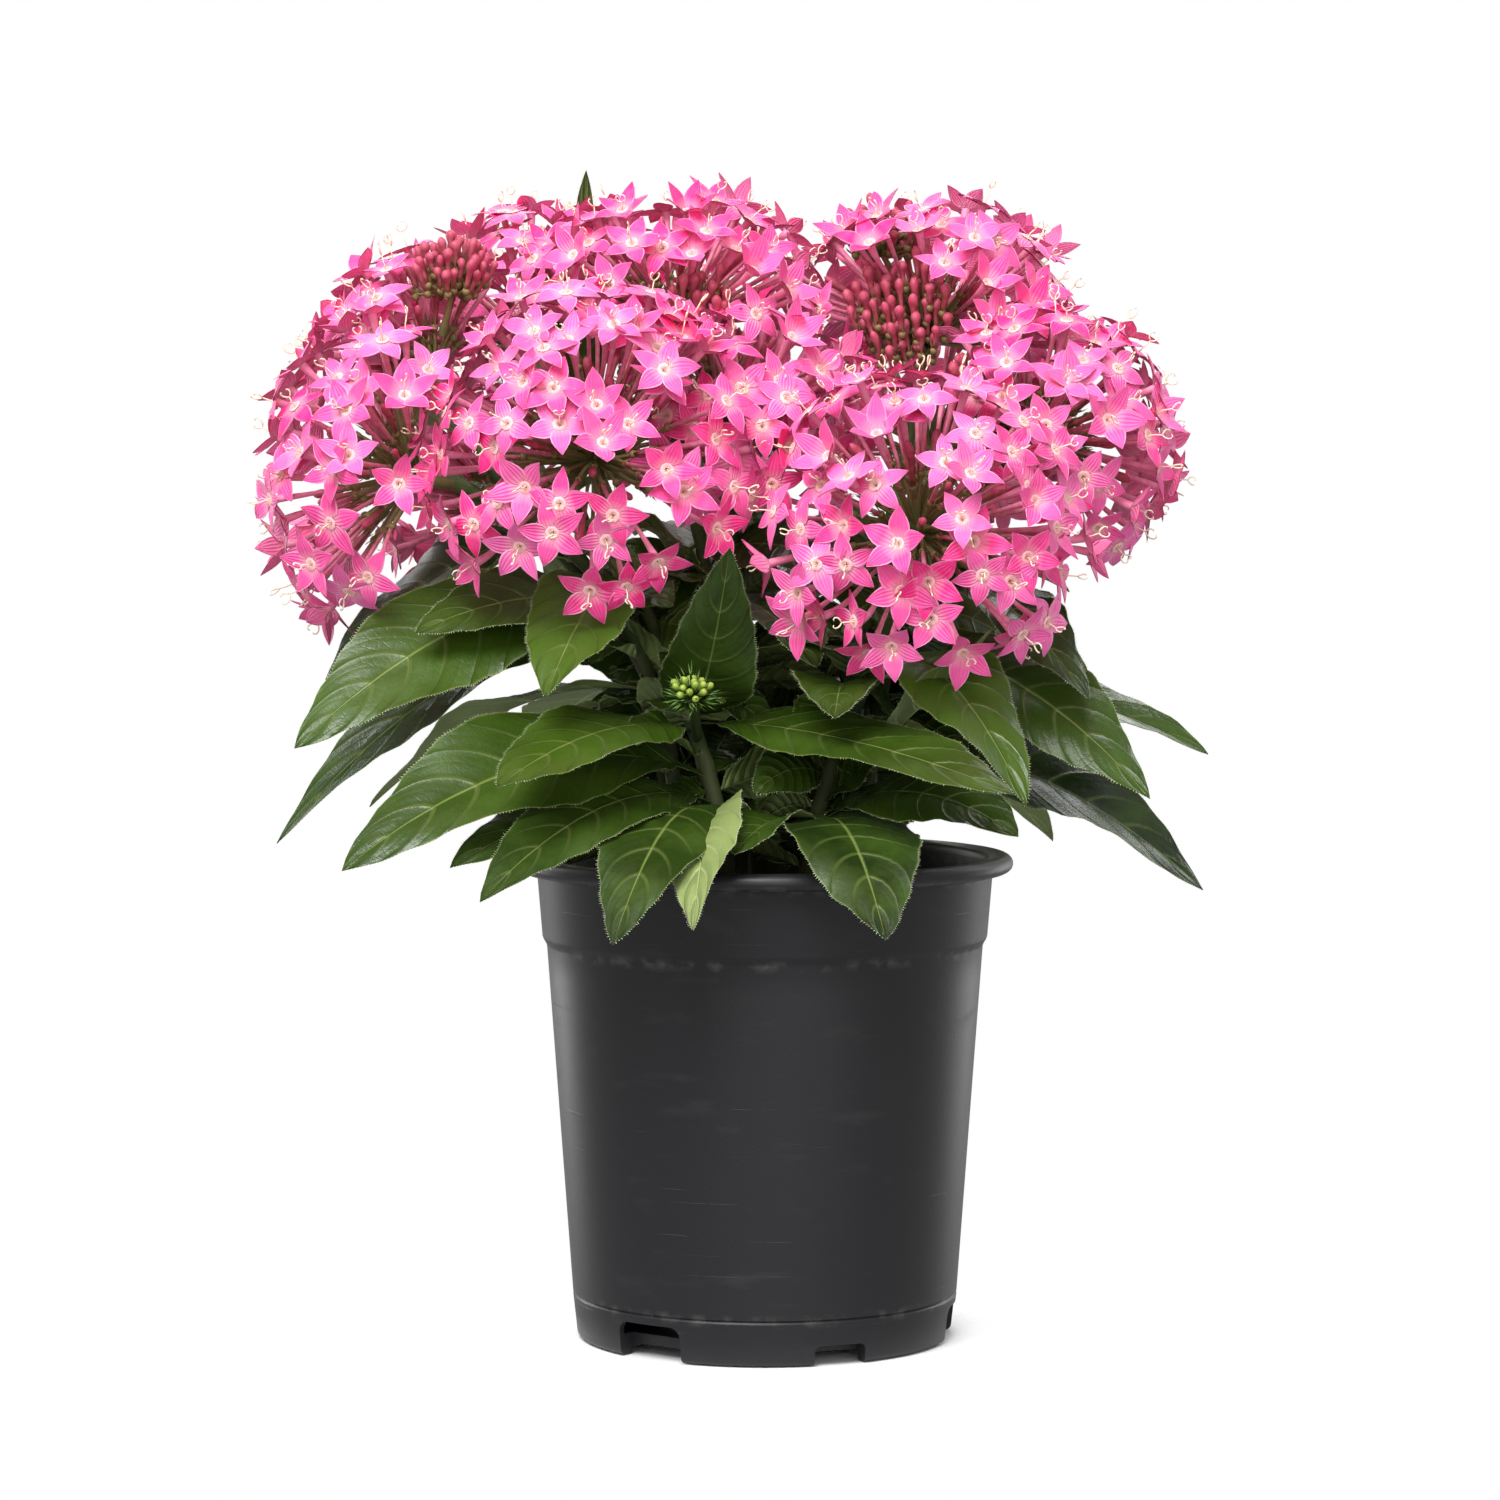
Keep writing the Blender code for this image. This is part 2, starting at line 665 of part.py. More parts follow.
def bud_shapes(name, taken):
    """A stalk that ends just above the head's core, with a ball of buds on it."""
    head, toward, reach, count = BUDS[name]
    core, way_up = Vector(HEADS[head][0]), direction(*toward)
    centre = core + way_up * reach
    draw = random.Random(name)
    stalk = [core + way_up * (CORE_RADIUS + GAP), centre]
    shapes = [ball_shape(centre, 4.5, 2, 5), sweep(stalk, [1.3, 1.3], BUD_SIDES)]
    for way in spiral(Vector((0, 0, 1)), 88, count, draw.uniform(0, 6.28)):
        tip = centre + way * draw.uniform(11.0, 15.0)
        shape = bud_shape(centre + way * 2.0, tip, BUD_RADIUS)
        if not crosses(*shape, taken):
            shapes.append(shape)
    return shapes


def rosette_shapes(path):
    """A stalk with a ball of small green calyx teeth, which belongs to its leafy stem."""
    centre = Vector(ROSETTE_CENTRE)
    base = along(path, ROSETTE_PLACE)
    stalk = [base, base.lerp(centre, 0.5) + Vector((0, 0, 3)), centre]
    shapes = [sweep(stalk, [1.2, 1.2, 1.2], 5), ball_shape(centre, ROSETTE_RADIUS, 2, 6)]
    for way in spiral(Vector((0, -0.5, 1)).normalized(), 80, 6, 0.4):
        shapes.append(bud_shape(centre + way * 2.0, centre + way * 9.0, 1.7))
    return shapes


def fused(name, shapes, paint):
    """One body from shapes that overlap."""
    parts = [mesh_object(name + "_part", points, faces, paint) for points, faces in shapes]
    first = parts[0]
    first.name = name
    boolean(first, "UNION", parts[1:], "MANIFOLD")
    keep_main_body(first)
    return first


def build():
    clear_scene()
    make_pot()
    make_soil([STEMS[name][0] for name in STEMS])
    stems = {name: stem_shapes(name) for name in STEMS}
    bars = {name: [tree_of(*shape) for path, shape in stems[name]] for name in STEMS}
    cores = {name: ball_shape(Vector(HEADS[name][0]), CORE_RADIUS, 3, 8,
                              direction(*HEADS[name][2])) for name in HEADS}
    core_trees = {name: tree_of(*cores[name]) for name in HEADS}
    all_bars = [tree for trees in bars.values() for tree in trees]

    taken = {}
    shapes = {}
    for name in BUDS:
        others = all_bars + [tree for key, tree in core_trees.items()]
        shapes[name] = bud_shapes(name, others)
        taken[name] = [tree_of(*shape) for shape in shapes[name]]
    top_leaf = leaf_shape(along(stems[TOP_LEAF_STEM][0][0], TOP_LEAF[0]), *TOP_LEAF[1:])
    for name in HEADS:
        others = [tree_of(*top_leaf)] + all_bars + [tree for key, tree in core_trees.items() if key != name]
        others += [tree for trees in taken.values() for tree in trees]
        found = head_shapes(name, others)
        shapes[name] = [cores[name]] + found
        taken[name] = [tree_of(*shape) for shape in found]

    for name in STEMS:
        path = stems[name][0][0]
        green = [shape for bar, shape in stems[name]]
        green += [leaf_shape(along(path, leaf[0]), *leaf[1:]) for leaf in LEAVES[name]]
        if name == TOP_LEAF_STEM:
            green.append(top_leaf)
        if name == ROSETTE_STEM:
            green += rosette_shapes(path)
        fused(name, green, "leaf")
    for name in HEADS:
        fused(name, shapes[name], "petal")
    for name in BUDS:
        fused(name, shapes[name], "bud")


build()
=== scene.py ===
import json
import math
import random

import bmesh
import bpy
import numpy as np
from mathutils import Matrix, Vector, noise

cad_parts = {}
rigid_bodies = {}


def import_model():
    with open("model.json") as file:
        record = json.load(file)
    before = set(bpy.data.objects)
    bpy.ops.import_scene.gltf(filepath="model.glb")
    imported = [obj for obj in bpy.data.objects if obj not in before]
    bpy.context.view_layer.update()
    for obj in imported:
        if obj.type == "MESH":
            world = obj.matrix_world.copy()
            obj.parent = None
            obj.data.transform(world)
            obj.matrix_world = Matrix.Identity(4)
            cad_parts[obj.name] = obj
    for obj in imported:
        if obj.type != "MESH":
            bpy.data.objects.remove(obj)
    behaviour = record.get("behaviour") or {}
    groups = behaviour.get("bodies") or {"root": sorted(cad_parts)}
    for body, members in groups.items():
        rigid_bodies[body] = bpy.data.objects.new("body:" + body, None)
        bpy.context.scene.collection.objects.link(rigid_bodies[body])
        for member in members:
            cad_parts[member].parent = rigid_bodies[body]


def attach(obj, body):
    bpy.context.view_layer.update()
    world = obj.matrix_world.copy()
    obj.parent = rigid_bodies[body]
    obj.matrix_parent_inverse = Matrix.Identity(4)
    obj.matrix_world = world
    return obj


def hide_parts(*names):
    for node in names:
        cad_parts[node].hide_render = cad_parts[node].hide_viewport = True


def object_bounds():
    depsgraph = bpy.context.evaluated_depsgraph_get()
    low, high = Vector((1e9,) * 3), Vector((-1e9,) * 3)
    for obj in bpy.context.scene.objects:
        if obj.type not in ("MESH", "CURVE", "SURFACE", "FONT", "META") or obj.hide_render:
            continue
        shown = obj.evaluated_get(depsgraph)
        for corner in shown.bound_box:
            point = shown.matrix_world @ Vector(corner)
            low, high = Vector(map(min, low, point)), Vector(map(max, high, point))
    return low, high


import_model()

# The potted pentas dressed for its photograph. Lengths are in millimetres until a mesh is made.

CAD_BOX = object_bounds()
MM = 0.001
GOLDEN_ANGLE = math.radians(137.508)

# Camera: where it stands, the point at the middle of the frame, and the scale there
CAMERA_SPOT = (0.0, -1170.0, 215.0)
CAMERA_AIM = (-3.6, 0.0, 142.0)
PHOTO_SIDE = 1500
MM_PER_PIXEL = 0.2415
SENSOR_WIDTH = 36.0

# Floor and light: the radii in metres between which the floor fades, and the white all round
FLOOR_FADE_START = 0.045
FLOOR_FADE_END = 0.058
WORLD_LIGHT = 0.44

# Pot: its notches are tall and short in turn, each size a width and a height
RIM_RADIUS = 60.0
POT_HEIGHT = 117.0
LIP_HEIGHT = 4.2
LIP_WIDTH = 4.6
COLLAR_TOP_RADIUS = 55.0
COLLAR_FOOT_RADIUS = 53.8
COLLAR_HEIGHT = 19.6
STEP_DEPTH = 1.1
STEP_HEIGHT = 2.4
FOOT_BAND_TOP_RADIUS = 47.1
FOOT_BAND_HEIGHT = 10.4
SEAM_DEPTH = 0.35
SEAM_HEIGHT = 0.8
FOOT_RADIUS = 45.6
FOOT_ROUNDING = 1.6
FOOT_RING_WIDTH = 4.0
FLOOR_UNDERSIDE = 2.5
PAD_RADIUS = 8.0
WALL = 1.4
FLOOR = 1.6
POT_SIDES = 192
NOTCH_COUNT = 6
NOTCH_SIZES = ((18.0, 8.6), (13.0, 4.8))
FIRST_NOTCH_TURN = -127.0

# Soil
SOIL_TOP = 105.0
SOIL_RINGS = 34
SOIL_SIDES = 90
SOIL_EDGE_DEPTH = 12.0
CRUMB_COUNT = 520

# Stems
HOLE_DEPTH = 16.0
STEM_FOOT_RADIUS = 2.3
STEM_TOP_RADIUS = 1.3
STEM_STATIONS = 8
STEM_SIDES = 12
BRANCH_RADIUS = 1.7
BRANCH_PLACE = 0.42
CORE_RADIUS = 9.0
GAP = 0.3

# Florets
PETAL_LENGTH = 7.7
PETAL_WIDTH = 4.25
PETAL_THICKNESS = 0.2
THROAT_RADIUS = 1.15
TUBE_LENGTH = 20.0
FLORETS_PER_SOLID_ONE = 4.5
LEAST_SPACING = 4.5
BUD_CLEARING = 16.5
LILAC_PINK = (0.97, 0.165, 0.47)
HOT_PINK = (1.0, 0.032, 0.25)
BOX_MARGINS = (5.0, 5.0, 9.0)
PETAL_ROWS = 7
PETAL_COLUMNS = 5
THROAT_SIDES = 8

# Leaves: VEIN_ARCH and VEIN_CURVE say how far and how sharply side veins bend to the tip.
# The leaf that ends at TURNED_LEAF_TIP shows its pale underside.
LEAF_THICKNESS = 0.35
LEAF_ROWS = 50
LEAF_COLUMNS = 12
VEIN_PAIRS = 9.0
VEIN_ARCH = 0.16
VEIN_CURVE = 1.35
TURNED_LEAF_TIP = (-16, -88, 107)
AXIL_PLACES = (0.06, 0.14, 0.22, 0.3, 0.38, 0.46, 0.54, 0.62, 0.72)
AXIL_REACH = 62.0
AXIL_ROWS = 20
AXIL_COLUMNS = 7

# Places of the materials in the lists for the soil, the stems and the heads
SOIL, BARK = range(2)
LEAF_FACE, LEAF_BACK, STEM, HAIR, ROSETTE = range(5)
PETAL_FACE, PETAL_BACK, FLORET_TUBE, THROAT, CREAM, GREEN, BUD = range(7)

# Each head: centre of its dome, dome radius, the way it faces (turn from +X and lift in
# degrees), how far its florets spread from there, and how many its solid is laid out with.
HEADS = {
    "head_far_left": ((-83, -14, 208), 36, (188, 14), 76, 12),
    "head_left_bud": ((-80, 10, 234), 27, (165, 62), 66, 8),
    "head_back_left": ((-56, 50, 238), 33, (125, 70), 78, 11),
    "head_front_left": ((-40, -28, 212), 37, (262, 38), 84, 17),
    "head_top": ((-22, 14, 243), 34, (250, 76), 76, 13),
    "head_centre": ((-4, -10, 218), 27, (275, 40), 74, 9),
    "head_top_right": ((40, 24, 241), 35, (350, 80), 84, 15),
    "head_right": ((64, -4, 216), 31, (325, 36), 84, 13),
    "head_front_right": ((36, -32, 195), 36, (275, 32), 86, 17),
    "head_back": ((-12, 66, 222), 33, (95, 52), 78, 12),
    "head_back_right": ((42, 68, 214), 33, (70, 46), 78, 12),
    "head_back_low": ((-66, 62, 200), 28, (140, 36), 74, 8),
}

# Each leafy stem: where it leaves the soil, and the heads that it carries
STEMS = {
    "stem_far_left": ((-20, -6), ("head_far_left", "head_left_bud")),
    "stem_front_left": ((-9, -20), ("head_front_left",)),
    "stem_back_left": ((-22, 14), ("head_back_left", "head_back_low")),
    "stem_top": ((-6, 6), ("head_top", "head_centre")),
    "stem_top_right": ((14, 10), ("head_top_right",)),
    "stem_right": ((24, -4), ("head_right",)),
    "stem_front_right": ((10, -21), ("head_front_right",)),
    "stem_back": ((-2, 26), ("head_back",)),
    "stem_back_right": ((18, 26), ("head_back_right",)),
}

# Clusters of unopened buds: the head each one sits on, its direction from the head's centre
# (turn, lift), its distance and its number of buds.
BUDS = {
    "buds_left": ("head_left_bud", (300, 62), 20, 60),
    "buds_top_right": ("head_top_right", (200, 60), 24, 40),
}

# Each leaf: its place along the stem from 0 to 1, its tip, its width, how high it arches
# and how far it rolls about its own length.
LEAVES = {
    "stem_far_left": (
        (0.62, (-108, -58, 146), 31, 9, -40), (0.80, (-106, 0, 159), 25, 6, -30),
        (0.50, (-116, -20, 121), 19, 15, -34), (0.88, (-100, 27, 208), 20, 4, 10),
        (0.40, (-98, 30, 126), 26, 10, 0), (0.70, (-98, 40, 170), 24, 8, 0),
    ),
    "stem_front_left": (
        (0.26, (-96, -72, 119), 33, 13, -34), (0.16, (-72, -64, 119), 23, 8, -26),
        (0.36, (-60, -86, 139), 27, 6, -14), (0.20, (-64, -84, 113), 24, 10, -22),
        (0.16, (-34, -90, 104), 28, 13, -6), (0.14, (-16, -88, 107), 20, 12, 30),
        (0.72, (-50, -64, 158), 28, 8, 0), (0.64, (-81, -46, 172), 25, 6, -30),
        (0.38, (56, -80, 137), 27, 4, 16), (0.40, (-8, -56, 192), 22, -8, 168),
    ),
    "stem_back_left": (
        (0.24, (-94, 62, 122), 28, 12, 0), (0.34, (-62, 98, 130), 28, 12, 0),
        (0.46, (-104, 58, 158), 26, 10, 0), (0.58, (-44, 104, 172), 25, 8, 0),
        (0.14, (-44, 26, 122), 26, 8, -50), (0.40, (-54, 30, 178), 25, 4, -50),
        (0.84, (-44, 30, 283), 14, -4, 0), (0.78, (-105, 33, 221), 22, 8, 0),
    ),
    "stem_top": (
        (0.56, (12, -44, 164), 26, 6, 0), (0.42, (28, -51, 166), 24, 4, 0),
        (0.66, (20, -24, 186), 24, 4, 30), (0.74, (-54, 31, 200), 22, 8, 0),
        (0.78, (14, 50, 206), 22, 8, 0), (0.22, (18, 42, 155), 27, 6, 30),
        (0.50, (-26, 43, 179), 27, 6, -20), (0.68, (-42, -2, 163), 26, 4, -30),
        (0.30, (-49, 14, 138), 27, 8, -55), (0.44, (-52, 8, 166), 26, 4, -55),
    ),
    "stem_top_right": (
        (0.50, (84, 34, 152), 25, 8, 20), (0.60, (12, 44, 184), 24, 8, 0),
        (0.78, (84, 54, 206), 22, 8, 0), (0.28, (84, 54, 124), 27, 12, 0),
        (0.66, (24, -4, 174), 27, 4, 10), (0.38, (54, 12, 150), 26, 6, 55),
        (0.12, (46, 20, 124), 26, 8, 50), (0.24, (13, 36, 133), 26, 4, -50),
        (0.40, (2, 36, 166), 26, 4, -50),
    ),
    "stem_right": (
        (0.50, (90, -38, 133), 29, 10, 30), (0.60, (86, 12, 136), 31, 12, 42),
        (0.40, (107, 0, 141), 24, 8, 26), (0.26, (107, 12, 107), 29, 12, 36),
        (0.72, (76, -34, 156), 22, 6, 10),
    ),
    "stem_front_right": (
        (0.20, (58, -62, 126), 27, 8, 24), (0.58, (60, -59, 133), 26, 14, 10),
        (0.16, (27, -90, 105), 32, 12, 0), (0.14, (-7, -64, 122), 21, 6, 0),
        (0.46, (16, -60, 153), 24, 8, 0), (0.34, (53, -42, 173), 22, -4, 10),
    ),
    "stem_back": (
        (0.20, (-26, 100, 112), 27, 13, 0), (0.38, (-22, 106, 148), 26, 10, 0),
        (0.46, (22, 104, 156), 25, 10, 0), (0.66, (-34, 98, 192), 24, 8, 0),
        (0.56, (16, 40, 179), 27, 6, 20), (0.62, (-21, 48, 168), 26, 6, -55),
        (0.16, (-32, 40, 148), 26, 4, -50),
    ),
    "stem_back_right": (
        (0.18, (34, 100, 112), 27, 13, 0), (0.24, (74, 74, 114), 28, 13, 0),
        (0.42, (86, 70, 146), 27, 10, 0), (0.58, (66, 96, 168), 25, 8, 0),
        (0.68, (78, 74, 178), 23, 8, 0), (0.32, (45, 55, 142), 27, 6, 55),
    ),
}

# Buds still closed among a head's own florets: their direction (turn, lift), how far they
# spread from it and their number.
BUD_PATCHES = {
    "head_top_right": ((252, 8), 28, 44),
    "head_top": ((285, 10), 16, 14),
    "head_right": ((215, 30), 18, 14),
}

ROSETTE_STEM = "stem_front_left"
ROSETTE_PLACE = 0.34
ROSETTE_CENTRE = (-17, -52, 157)


# Meshes

class Pile:
    """Gathers many small shapes into one mesh. Each point carries three numbers for its material."""

    def __init__(self):
        self.points, self.faces, self.paints, self.marks = [], [], [], []
        self.count = 0

    def add(self, points, faces, paint, marks=(0, 0, 0)):
        points = np.asarray(points, float)
        faces = np.asarray(faces, int)
        marks = np.broadcast_to(np.asarray(marks, float), (len(points), 3))
        self.points.append(points)
        self.faces.append(faces + self.count)
        self.paints.append(np.full(len(faces), paint))
        self.marks.append(marks)
        self.count += len(points)

    def make(self, name, materials, node):
        points = np.concatenate(self.points) * MM
        faces = np.concatenate(self.faces)
        mesh = bpy.data.meshes.new(name)
        mesh.from_pydata(points, [], faces)
        mesh.polygons.foreach_set("material_index", np.concatenate(self.paints).astype(np.int32))
        mesh.polygons.foreach_set("use_smooth", np.ones(len(faces), bool))
        marks = mesh.attributes.new("marks", "FLOAT_VECTOR", "POINT")
        marks.data.foreach_set("vector", np.concatenate(self.marks).astype(np.float32).ravel())
        mesh.update()
        for paint in materials:
            mesh.materials.append(paint)
        return place(bpy.data.objects.new(name, mesh), node)


def place(obj, node):
    """Puts a piece in the scene, where it stands for a node."""
    if not obj.users_collection:
        bpy.context.scene.collection.objects.link(obj)
    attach(obj, "root")
    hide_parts(node)
    return obj


def grid_faces(rows, columns, closed=False, flip=False):
    """Triangles of a grid of points, row after row; closed joins its last column to its first."""
    wide = columns if closed else columns - 1
    row, column = np.meshgrid(np.arange(rows - 1), np.arange(wide), indexing="ij")
    after = (column + 1) % columns
    a, b = row * columns + column, row * columns + after
    c, d = b + columns, a + columns
    faces = np.concatenate([np.stack([a, b, c], -1).reshape(-1, 3),
                            np.stack([a, c, d], -1).reshape(-1, 3)])
    return faces[:, ::-1] if flip else faces


def unit(vectors):
    vectors = np.asarray(vectors, float)
    return vectors / np.maximum(np.linalg.norm(vectors, axis=-1, keepdims=True), 1e-9)


def direction(turn, lift):
    turn, lift = math.radians(turn), math.radians(lift)
    return Vector((math.cos(turn) * math.cos(lift), math.sin(turn) * math.cos(lift), math.sin(lift)))


def scatter(draw):
    """A random step with no favoured side."""
    return Vector([draw.gauss(0, 1) for _ in range(3)])


def frame_along(axis):
    """A turn whose Z is the given axis."""
    return Vector(axis).to_track_quat("Z", "Y").to_matrix()


def tube(path, radii, sides, cap):
    """Points, faces and the share of the length at each point of a round bar along a path."""
    path = np.array([tuple(p) for p in path], float)
    radii = np.broadcast_to(np.asarray(radii, float), (len(path),))
    ahead = unit(np.gradient(path, axis=0))
    side = np.array([0.0, 1.0, 0.0]) if abs(ahead[0][1]) < 0.9 else np.array([1.0, 0.0, 0.0])
    rings = []
    angles = np.arange(sides) * math.tau / sides
    for spot, way, radius in zip(path, ahead, radii):
        side = unit(side - way * side.dot(way))
        other = np.cross(way, side)
        rings.append(spot + radius * (np.cos(angles)[:, None] * side
                                      + np.sin(angles)[:, None] * other))
    points = np.concatenate(rings)
    faces = grid_faces(len(path), sides, closed=True)
    share = np.repeat(np.linspace(0, 1, len(path)), sides)
    if cap:
        points = np.concatenate([points, path[:1], path[-1:]])
        share = np.concatenate([share, [0.0, 1.0]])
        low, high, last = len(path) * sides, len(path) * sides + 1, (len(path) - 1) * sides
        ring = np.arange(sides)
        after = (ring + 1) % sides
        faces = np.concatenate([faces,
                                np.stack([np.full(sides, low), after, ring], -1),
                                np.stack([np.full(sides, high), last + ring, last + after], -1)])
    return points, faces, share


def add_bar(pile, path, radii, sides, paint, tone=0.5, length=None, cap=True):
    """Adds a round bar. Its colour runs along it, or is the one at the share length of it."""
    points, faces, share = tube(path, radii, sides, cap)
    run = share if length is None else share * 0 + length
    pile.add(points, faces, paint, np.stack([run, run, share * 0 + tone], -1))


# Layout that follows the solids

def curve_point(a, b, c, d, t):
    s = 1.0 - t
    return a * s**3 + b * 3 * s * s * t + c * 3 * s * t * t + d * t**3


def dome(head):
    """A head's centre, facing direction, radius, spread in degrees and florets laid out."""
    centre, radius, facing, spread, count = HEADS[head]
    return Vector(centre), direction(*facing), radius, spread, round(count * FLORETS_PER_SOLID_ONE)


def core_foot(head):
    """Where a stem ends under a head's core, and the way the head faces."""
    centre, axis = dome(head)[:2]
    return centre - axis * (CORE_RADIUS + GAP), axis


def stem_path(foot, head):
    """Points from the hole in the soil to just under a head's core."""
    start = Vector((foot[0], foot[1], SOIL_TOP - HOLE_DEPTH + GAP + 0.2))
    lift = Vector((foot[0], foot[1], SOIL_TOP + 4.0))
    end, axis = core_foot(head)
    reach = (end - lift).length
    path = [start]
    for index in range(STEM_STATIONS):
        t = index / (STEM_STATIONS - 1)
        path.append(curve_point(lift, lift + Vector((0, 0, 0.35 * reach)),
                                end - axis * 0.4 * reach, end, t))
    return path


def branch_path(main, head):
    """A branch that leaves a stem part way up and ends under another head."""
    start = along(main, BRANCH_PLACE)
    ahead = (along(main, BRANCH_PLACE + 0.13) - start).normalized()
    end, axis = core_foot(head)
    reach = (end - start).length
    return [curve_point(start, start + ahead * 0.3 * reach, end - axis * 0.35 * reach, end, i / 6)
            for i in range(7)]


def along(path, t):
    """The point at the share t of a path's length above the soil."""
    reach = 1 + t * (len(path) - 2)
    low = min(int(reach), len(path) - 2)
    return path[low].lerp(path[low + 1], reach - low)


def smooth_path(path, steps):
    """The path with more points, on a smooth curve through the given ones."""
    points = np.array([tuple(p) for p in path])
    ends = np.concatenate([[2 * points[0] - points[1]], points, [2 * points[-1] - points[-2]]])
    made = []
    for i in range(len(points) - 1):
        a, b, c, d = ends[i:i + 4]
        for k in range(steps):
            t = k / steps
            made.append(0.5 * (2 * b + (c - a) * t + (2 * a - 5 * b + 4 * c - d) * t * t
                               + (3 * b - a - 3 * c + d) * t**3))
    made.append(points[-1])
    return [Vector(p) for p in made]


def spiral(axis, spread, count, start):
    """Directions spread evenly over a cap about the axis."""
    turn = frame_along(axis)
    widest = 1.0 - math.cos(math.radians(spread))
    for index in range(count):
        height = 1.0 - widest * (index + 0.5) / count
        flat = math.sqrt(max(0.0, 1.0 - height * height))
        angle = start + index * GOLDEN_ANGLE
        yield turn @ Vector((flat * math.cos(angle), flat * math.sin(angle), height))


# Materials

def material(name):
    made = bpy.data.materials.new(name)
    made.use_nodes = True
    return made, made.node_tree


def feed(tree, node, values):
    """Gives each socket a number, a colour or another node's output."""
    for socket, value in values.items():
        if isinstance(value, (int, float)):
            node.inputs[socket].default_value = value
        elif isinstance(value, tuple):
            node.inputs[socket].default_value = (*value, 1.0)
        else:
            tree.links.new(value, node.inputs[socket])


def put(tree, kind, values, **settings):
    """A new node with its settings and the values of its sockets already given."""
    node = tree.nodes.new(kind)
    for name, value in settings.items():
        setattr(node, name, value)
    feed(tree, node, values)
    return node


def maths(tree, operation, *values):
    return put(tree, "ShaderNodeMath", dict(enumerate(values)), operation=operation).outputs[0]


def mixed(tree, share, first, second):
    return put(tree, "ShaderNodeMix", {0: share, 6: first, 7: second}, data_type="RGBA").outputs[2]


def layered(tree, base, *layers):
    """The base with colours laid over it in turn, each by its share."""
    for share, colour in layers:
        base = mixed(tree, share, base, colour)
    return base


def stepped(tree, value, low, high, out_low=0.0, out_high=1.0):
    """Turns values from low to high into the range given, held at its ends."""
    values = {0: value, 1: low, 2: high, 3: out_low, 4: out_high}
    return put(tree, "ShaderNodeMapRange", values, clamp=True).outputs[0]


def own_space(tree):
    """The place of a point in its piece's own space."""
    return put(tree, "ShaderNodeTexCoord", {}).outputs["Object"]


def grain(tree, scale, detail=3.0, stretch=None):
    """Noise in the piece's own space, in repeats a metre."""
    where = own_space(tree)
    if stretch:
        mapping = put(tree, "ShaderNodeMapping", {"Vector": where})
        mapping.inputs["Scale"].default_value = stretch
        where = mapping.outputs["Vector"]
    values = {"Vector": where, "Scale": scale, "Detail": detail}
    return put(tree, "ShaderNodeTexNoise", values).outputs[0]


def parts(tree, source):
    """The three numbers of a vector."""
    return put(tree, "ShaderNodeSeparateXYZ", {0: source}).outputs


def marks(tree):
    """The three numbers that each point carries."""
    return parts(tree, put(tree, "ShaderNodeAttribute", {}, attribute_name="marks").outputs["Vector"])


def finish(made, base, rough, height, depth, strength=1.0, shine=0.5):
    """Gives a material its colour, roughness, bump and shine."""
    tree = made.node_tree
    raised = put(tree, "ShaderNodeBump", {"Height": height, "Distance": depth, "Strength": strength})
    feed(tree, tree.nodes["Principled BSDF"],
         {"Base Color": base, "Roughness": rough, "Specular IOR Level": shine,
          "Normal": raised.outputs[0]})
    return made


def petal_material(name, back=False):
    """Pink petals: margin pale, throat end pale, each floret its own tone between two pinks; on the
    backs a paler pink is painted in as light shining through.
    """
    made, tree = material(name)
    across, length, tone = marks(tree)
    edge = maths(tree, "ABSOLUTE", across)
    mottle = grain(tree, 420, 2.0)
    stripes = maths(tree, "SINE", maths(tree, "MULTIPLY", across, 17.0))
    base = layered(
        tree, mixed(tree, tone, LILAC_PINK, HOT_PINK),
        (stepped(tree, mottle, 0.4, 0.75, 0.0, 0.22), (0.98, 0.24, 0.56)),
        (stepped(tree, stripes, 0.2, 1.0, 0.0, 0.1), (0.85, 0.015, 0.22)),
        (stepped(tree, length, 0.0, 0.38, 0.85, 0.0), (0.99, 0.44, 0.54)),
        (stepped(tree, edge, 0.82, 1.0, 0.0, 0.6), (1.0, 0.55, 0.76)),
        # On the backs a paler pink is painted in: light shining through the thin petals.
        (0.5 if back else 0.0, (1.0, 0.34, 0.58)))
    return finish(made, base, 0.5, maths(tree, "ADD", stripes, mottle), 0.00006, shine=0.25)


def banded_material(name, low, high, roughness, speckle):
    """A colour that runs along a piece from one to another, with fine mottling."""
    made, tree = material(name)
    mottle = grain(tree, 600)
    base = layered(tree, low, (marks(tree)[1], high),
                   (stepped(tree, mottle, 0.4, 0.68, 0.0, 0.5), speckle))
    return finish(made, base, roughness, mottle, 0.00008)


